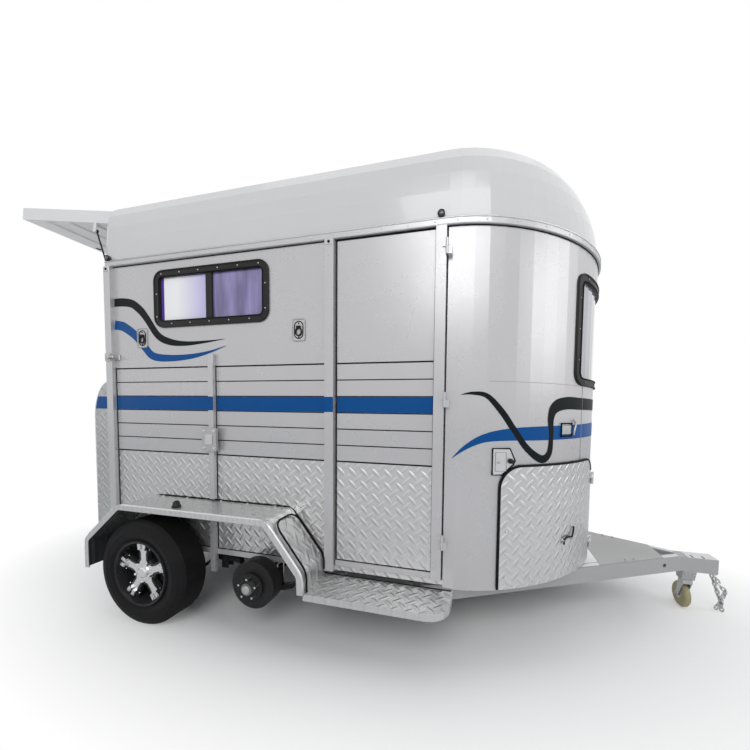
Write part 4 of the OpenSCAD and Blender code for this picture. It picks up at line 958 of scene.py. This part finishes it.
for tag, sign in (("right", -1), ("left", 1)):
    bm = bmesh.new()
    glass_bm = bmesh.new()
    for x in (0.024, 2.35):
        at = place(x, sign * (HALF_W + 0.0155), 2.398)
        turned(bm, at, (0, sign, 0), [(0, 0.02), (0.003, 0.02), (0.0045, 0.0175), (0.002, 0.015)], 20)
        turned(glass_bm, at, (0, sign, 0), [(0, 0.0155), (0.003, 0.0145), (0.0055, 0.0095), (0.0062, 0.003)], 16)
    piece(f"gutter_lamp_rims_{tag}", bm, "plastic", smooth=True)
    piece(f"gutter_lamp_lenses_{tag}", glass_bm, "lens", smooth=True)
    rim = frame_outline(0.104, 0.084, 0.014)
    path = [place(0.1025, sign * 1.0445 + x, 0.465 + z) for x, z in rim]
    tube(f"tail_lamp_rim_{tag}", path, 0.004, "trim", closed=True)
    bm = bmesh.new()
    for k in range(9):
        y = sign * 1.0445 - 0.044 + 0.011 * k
        slab(bm, (0.0985, y - 0.0048, 0.43), (0.1035, y + 0.0048, 0.5), 0.0018)
    piece(f"tail_lamp_lens_{tag}", bm, "red")
    for x, n in ((0.306, "rear"), (1.507, "front")):
        z = 1.84
        rim = frame_outline(0.082, 0.126, 0.012)
        tube(f"tie_rim_{n}_{tag}", [place(x + a, sign * (HALF_W + 0.0035), z + b) for a, b in rim], 0.0034, "rail", closed=True)
        rim = frame_outline(0.056, 0.1, 0.027)
        tube(f"tie_tray_{n}_{tag}", [place(x + a, sign * (HALF_W + 0.0035), z + b) for a, b in rim], 0.003, "seal", closed=True)
        ring = [(0.019 * math.cos(a), -0.012 + 0.022 * math.sin(a)) for a in (math.radians(18 * k) for k in range(20))]
        tube(f"tie_ring_{n}_{tag}", [place(x + a, sign * (HALF_W + 0.008), z + b) for a, b in ring], 0.0042, "black", closed=True)
        bm = bmesh.new()
        slab(bm, (x - 0.014, sign * (HALF_W + 0.002), z + 0.008), (x + 0.014, sign * (HALF_W + 0.013), z + 0.024))
        turned(bm, place(x, sign * (HALF_W + 0.002), z + 0.038), (0, sign, 0), [(0, 0.005), (0.004, 0.004)], 10)
        turned(bm, place(x, sign * (HALF_W + 0.002), z - 0.044), (0, sign, 0), [(0, 0.005), (0.004, 0.004)], 10)
        piece(f"tie_boss_{n}_{tag}", bm, "black")
    bm = bmesh.new()
    slab(bm, (0.012, sign * (POST_Y + 0.007), 1.7), (0.044, sign * (POST_Y + 0.016), 1.728), 0.003)
    slab(bm, (0.054, sign * (HALF_W - 0.0005), 1.694), (0.1, sign * (HALF_W + 0.009), 1.734), 0.004)
    slab(bm, (0.03, sign * (POST_Y + 0.014), 1.708), (0.09, sign * (POST_Y + 0.02), 1.72), 0.002)
    slab(bm, (0.082, sign * (HALF_W + 0.008), 1.706), (0.092, sign * (POST_Y + 0.018), 1.722), 0.002)
    piece(f"rear_catch_{tag}", bm, "zinc")
    bm = bmesh.new()
    for z in (1.112, 1.222):
        for x in (0.846, 0.924):
            bolt(bm, place(x, sign * (POST_Y + 0.018), z), (0, sign, 0), 0.006)
    slab(bm, (0.858, sign * (POST_Y + 0.0175), 1.134), (0.912, sign * (POST_Y + 0.024), 1.2), 0.003)
    piece(f"post_bracket_face_{tag}", bm, "trim")


# Wheels and hubs

def hub_ring(bm, x, sign, radius, count, low, high, r, steps=6, turn=90.0):
    for k in range(count):
        a = math.radians(turn + 360 / count * k)
        at = place(x + radius * math.cos(a), sign * (WHEEL_Y + low), AXLE_Z + radius * math.sin(a))
        turned(bm, at, (0, sign, 0), [(0, r), (high - low - 0.003, r), (high - low, 0.7 * r)], steps)


for body, x, sign in (("wheel_rear_right", AXLES[0], -1), ("wheel_rear_left", AXLES[0], 1), ("wheel_front_left", AXLES[1], 1)):
    bm = bmesh.new()
    hub_ring(bm, x, sign, 0.0572, 5, 0.066, 0.082, 0.0085, turn=126.0)
    turned(bm, place(x, sign * (WHEEL_Y + 0.066), AXLE_Z), (0, sign, 0), [(0, 0.034), (0.012, 0.033), (0.016, 0.027), (0.018, 0.01)], 24)
    hub_ring(bm, x, sign, 0.152, 10, 0.057, 0.064, 0.0045, 8, turn=108.0)
    piece(f"{body}_nuts", bm, "chrome", body)
    ring = [place(x + 0.2005 * math.cos(a), sign * (WHEEL_Y + 0.0935), AXLE_Z + 0.2005 * math.sin(a)) for a in (math.radians(6 * k) for k in range(60))]
    tube(f"{body}_lip", ring, 0.0042, "plastic", body, closed=True)
    bm = bmesh.new()
    for k in range(5):
        a = math.radians(90 + 72 * k)
        for offset in (-0.02, 0.02):
            for r0 in (0.149, 0.169):
                u, v = Vector((math.cos(a), 0, math.sin(a))), Vector((-math.sin(a), 0, math.cos(a)))
                at = place(x, sign * (WHEEL_Y + 0.0785), AXLE_Z) + u * (r0 + 0.002) + v * offset
                turned(bm, at - Vector((0, sign * 0.0015, 0)), (0, sign, 0), [(0, 0.0085), (0.004, 0.0078)], 4)
    piece(f"{body}_blocks", bm, "chrome", body)
    at = place(x + 0.175 * math.cos(2.2), sign * (WHEEL_Y + 0.06), AXLE_Z + 0.175 * math.sin(2.2))
    tube(f"{body}_valve", [at, at + Vector((0, sign * 0.024, 0.003))], 0.0038, "plastic", body)
bm = bmesh.new()
turned(bm, place(AXLES[1], -(WHEEL_Y + 0.072), AXLE_Z), (0, -1, 0), [(-0.001, 0.026), (0.006, 0.024), (0.009, 0.017), (0.01, 0.006)], 24)
piece("hub_front_right_cap", bm, "rail", "hub_front_right", smooth=True)

bm = bmesh.new()
for sign in (-1, 1):
    for x in AXLES:
        for dx in (-0.03, 0.03):
            for dy in (-0.032, 0.032):
                foot = place(x + dx, sign * 0.815 + dy, 0.186)
                tube_mesh(bm, [foot, foot + Vector((0, 0, 0.19))], 0.0055, 6)
                turned(bm, foot + Vector((0, 0, -0.008)), (0, 0, 1), [(0, 0.0095), (0.01, 0.0095)], 6)
        for dx in (-0.03, 0.03):
            top = place(x + dx, sign * 0.815, 0.374)
            tube_mesh(bm, [top + Vector((0, d, 0)) for d in (-0.034, 0.034)], 0.0055, 6)
piece("axle_u_bolts", bm, "zinc")


# Drawbar, castor and struts

bm = bmesh.new()
for sign in (-1, 1):
    for x in (3.54, 3.6):
        y = 0.87 + (0.05 - 0.873) * (x - 2.28) / (3.94 - 2.28)
        bolt(bm, place(x, sign * (y - 0.025), 0.3885), (0, 0, 1), 0.007)
piece("drawbar_bolts", bm, "zinc")
bm = bmesh.new()
slab(bm, (3.985, -0.0495, 0.3835), (4.158, 0.0495, 0.3862), 0.0008)
piece("tongue_cover", bm, "pale")
bm = bmesh.new()
for x in (4.01, 4.075):
    slab(bm, (x, -0.046, 0.3855), (x + 0.009, -0.012, 0.3872), 0.0006)
piece("tongue_slots", bm, "seal")
# Painted light: pale strips on the tops of the grey drawbar rails stand in for their lit top faces.
bm = bmesh.new()
for sign in (-1, 1):
    across = (0.873 - 0.05) / (3.94 - 2.28)
    corners = []
    for x, inner in ((3.2, 0.044), (3.93, 0.044), (3.93, 0.006), (3.2, 0.006)):
        y = 0.873 - across * (x - 2.28) - inner
        corners.append(bm.verts.new(place(x, sign * y, 0.3862)))
    bm.faces.new(corners)
piece("rail_tops", bm, "pale")
ring = [place(4.161 - 0.0045, 0.0455 * a, 0.335 + 0.0455 * b) for a, b in ((-1, -1), (1, -1), (1, 1), (-1, 1))]
tube("tongue_mouth", ring, 0.0035, "rail", closed=True, sides=6)
bm = bmesh.new()
for sign in (-1, 1):
    bolt(bm, place(4.0 + sign * 0.029, 0.035, 0.085), (sign, 0, 0), 0.008)
piece("castor_axle_nuts", bm, "zinc", "castor_fork")
bm = bmesh.new()
for k in range(2):
    turned(bm, place(4.0 + (-1, 1)[k] * 0.0195, 0.035, 0.085), ((-1, 1)[k], 0, 0), [(0, 0.03), (0.0012, 0.029)], 24)
piece("castor_wheel_hub", bm, "zinc", "castor_wheel")
bm = bmesh.new()
for sign in (-1, 1):
    for x in (3.975, 4.025):
        bolt(bm, place(x, sign * 0.0405, 0.262), (0, sign, -0.26), 0.0055)
piece("castor_mount_bolts", bm, "zinc")

STRUT_FOOT, STRUT_HEAD = Vector((0.02, 0, 1.99)), Vector((-0.22036, 0, 2.6619))
strut_way = (STRUT_HEAD - STRUT_FOOT).normalized()
for tag, sign in (("right", -1), ("left", 1)):
    foot = place(STRUT_FOOT.x, sign * 0.795, STRUT_FOOT.z)
    bm = bmesh.new()
    turned(bm, foot + strut_way * 0.394, strut_way, [(0, 0.0125), (0.007, 0.0125), (0.011, 0.0085)], 16)
    turned(bm, foot + strut_way * 0.022, strut_way, [(0, 0.0085), (0.01, 0.0122), (0.03, 0.0122)], 16)
    piece(f"strut_collar_{tag}", bm, "plastic", f"strut_tube_{tag}", smooth=True)


# Inside: floor mats, divider rolls and breast bar pads

bm = bmesh.new()
for k in range(19):
    x = 0.12 + 0.083 * k
    for y0, y1 in ((-0.82, -0.03), (0.03, 0.82)):
        slab(bm, (x, y0, 0.4695), (x + 0.05, y1, 0.4735), 0.0015)
piece("floor_mat_ribs", bm, "floor")
tube("divider_roll", [place(x, 0, 1.722) for x in (0.322, 1.674)], 0.021, "pad", sides=12)
tube("divider_roll_low", [place(x, 0, 0.928) for x in (0.322, 1.674)], 0.018, "pad", sides=12)
tube("breast_bar_pad", [place(1.696, y, 1.25) for y in (-0.8, -0.03)], 0.027, "pad", sides=12)
tube("breast_bar_pad_left", [place(1.696, y, 1.25) for y in (0.03, 0.8)], 0.027, "pad", sides=12)


# Flap: ribs under its panel, trim on its lip

TILT = math.radians(9)


def flap_point(x, y, z):
    """A point given in the level flap's own frame, from its hinge."""
    return place(
        -0.015 + x * math.cos(TILT) + z * math.sin(TILT), y,
        2.68 - x * math.sin(TILT) + z * math.cos(TILT))


for y in (-0.8, 0.8):
    tube(f"flap_edge_{'right' if y < 0 else 'left'}", [flap_point(x, y * 1.0055, 0.0815) for x in (-0.962, -0.03)], 0.0038, "trim", "flap")
tube("flap_edge_end", [flap_point(-0.966, y, 0.0815) for y in (-0.8, 0.8)], 0.0038, "trim", "flap")
bm = bmesh.new()
for x in (-0.72, -0.48, -0.24):
    rows = [flap_point(x + dx, sy * 0.79, dz) for sy in (-1, 1) for dx, dz in ((-0.022, 0.0012), (-0.014, -0.007), (0.014, -0.007), (0.022, 0.0012))]
    verts = [bm.verts.new(p) for p in rows]
    for k in range(3):
        bm.faces.new((verts[k], verts[k + 1], verts[k + 5], verts[k + 4]))
    bm.faces.new(verts[:4])
    bm.faces.new(list(reversed(verts[4:])))
piece("flap_ribs", bm, "flap", "flap")
bm = bmesh.new()
for y in (-0.35, 0.35):
    turned(bm, flap_point(-0.9, y, 0.0015), flap_point(-0.9, y, -1) - flap_point(-0.9, y, 0), [(0, 0.02), (0.004, 0.019), (0.006, 0.01)], 16)
piece("flap_buffers", bm, "plastic", "flap", smooth=True)


# Stage, lamps and camera

def stage():
    bpy.ops.mesh.primitive_plane_add(size=60)
    ground = bpy.context.object
    ground.name = "ground"
    s = Shader("ground_pale", (0.95, 0.95, 0.95), 0.9)
    s.bsdf.inputs["Specular IOR Level"].default_value = 0.1
    ground.data.materials.append(s.mat)
    light_path = s.tree.nodes.new("ShaderNodeLightPath")
    white = s.tree.nodes.new("ShaderNodeEmission")
    white.inputs["Strength"].default_value = 1.0
    mix = s.tree.nodes.new("ShaderNodeMixShader")
    away = s.tree.nodes.new("ShaderNodeNewGeometry")
    scaled = s.tree.nodes.new("ShaderNodeVectorMath")
    scaled.operation = "MULTIPLY"
    scaled.inputs[1].default_value = (0.5, 1.0, 1.0)
    s.link(away.outputs["Position"], scaled.inputs[0])
    length = s.tree.nodes.new("ShaderNodeVectorMath")
    length.operation = "LENGTH"
    s.link(scaled.outputs[0], length.inputs[0])
    far = s.span(length.outputs["Value"], 1.0, 1.75)
    s.link(s.math("MULTIPLY", light_path.outputs["Is Camera Ray"], far), mix.inputs[0])
    s.link(s.bsdf.outputs[0], mix.inputs[1])
    s.link(white.outputs[0], mix.inputs[2])
    s.link(mix.outputs[0], s.out.inputs[0])


def world():
    sky = bpy.data.worlds.new("studio")
    bpy.context.scene.world = sky
    sky.use_nodes = True
    tree = sky.node_tree
    tree.nodes.clear()
    out = tree.nodes.new("ShaderNodeOutputWorld")
    mix = tree.nodes.new("ShaderNodeMixShader")
    soft = tree.nodes.new("ShaderNodeBackground")
    soft.inputs[0].default_value = (0.95, 0.97, 1.0, 1)
    soft.inputs[1].default_value = 0.5
    white = tree.nodes.new("ShaderNodeBackground")
    white.inputs[0].default_value = (1, 1, 1, 1)
    white.inputs[1].default_value = 1.0
    path = tree.nodes.new("ShaderNodeLightPath")
    seen = tree.nodes.new("ShaderNodeMath")
    seen.operation = "MAXIMUM"
    tree.links.new(path.outputs["Is Camera Ray"], seen.inputs[0])
    tree.links.new(path.outputs["Is Transmission Ray"], seen.inputs[1])
    glossy = tree.nodes.new("ShaderNodeMath")
    glossy.operation = "MAXIMUM"
    tree.links.new(seen.outputs[0], glossy.inputs[0])
    tree.links.new(path.outputs["Is Glossy Ray"], glossy.inputs[1])
    tree.links.new(glossy.outputs[0], mix.inputs[0])
    tree.links.new(soft.outputs[0], mix.inputs[1])
    tree.links.new(white.outputs[0], mix.inputs[2])
    tree.links.new(mix.outputs[0], out.inputs[0])


def area(name, at, to, size, power):
    lamp = bpy.data.lights.new(name, "AREA")
    lamp.shape = "RECTANGLE"
    lamp.size, lamp.size_y = size
    lamp.energy = power
    obj = bpy.data.objects.new(name, lamp)
    bpy.context.scene.collection.objects.link(obj)
    obj.location = at
    obj.rotation_euler = (Vector(to) - Vector(at)).to_track_quat("-Z", "Y").to_euler()


CAMERA = {
    "at": (0.957, -2.578, 1.366), "yaw": 13.56, "pitch": -2.73, "roll": 0.78,
    "focal_px": 315.6, "middle_px": (408.3, 426.2),
}


def camera():
    data = bpy.data.cameras.new("camera")
    obj = bpy.data.objects.new("camera", data)
    bpy.context.scene.collection.objects.link(obj)
    bpy.context.scene.camera = obj
    obj.location = CAMERA["at"]
    turn = Matrix.Rotation(math.radians(CAMERA["yaw"]), 4, "Z")
    tilt = Matrix.Rotation(math.radians(90 + CAMERA["pitch"]), 4, "X")
    roll = Matrix.Rotation(math.radians(CAMERA["roll"]), 4, "Z")
    obj.rotation_euler = (turn @ tilt @ roll).to_euler()
    data.sensor_fit = "HORIZONTAL"
    data.sensor_width = 36.0
    data.lens = CAMERA["focal_px"] / 750 * 36.0
    data.shift_x = -(CAMERA["middle_px"][0] - 375) / 750
    data.shift_y = (CAMERA["middle_px"][1] - 375) / 750
    data.clip_end = 200


bpy.context.scene.view_settings.view_transform = "Standard"
stage()
world()
area("key", (1.5, -6.5, 5.5), (0, 0, 1.2), (5.0, 3.5), 170)
area("fill", (6.5, -1.5, 3.5), (0.5, 0, 1.2), (3.5, 3.0), 60)
area("back", (-5.5, 4.5, 4.5), (0, 0, 1.2), (4.0, 3.0), 60)
area("top", (0, 0, 7.0), (0, 0, 0), (6.0, 4.0), 20)
camera()
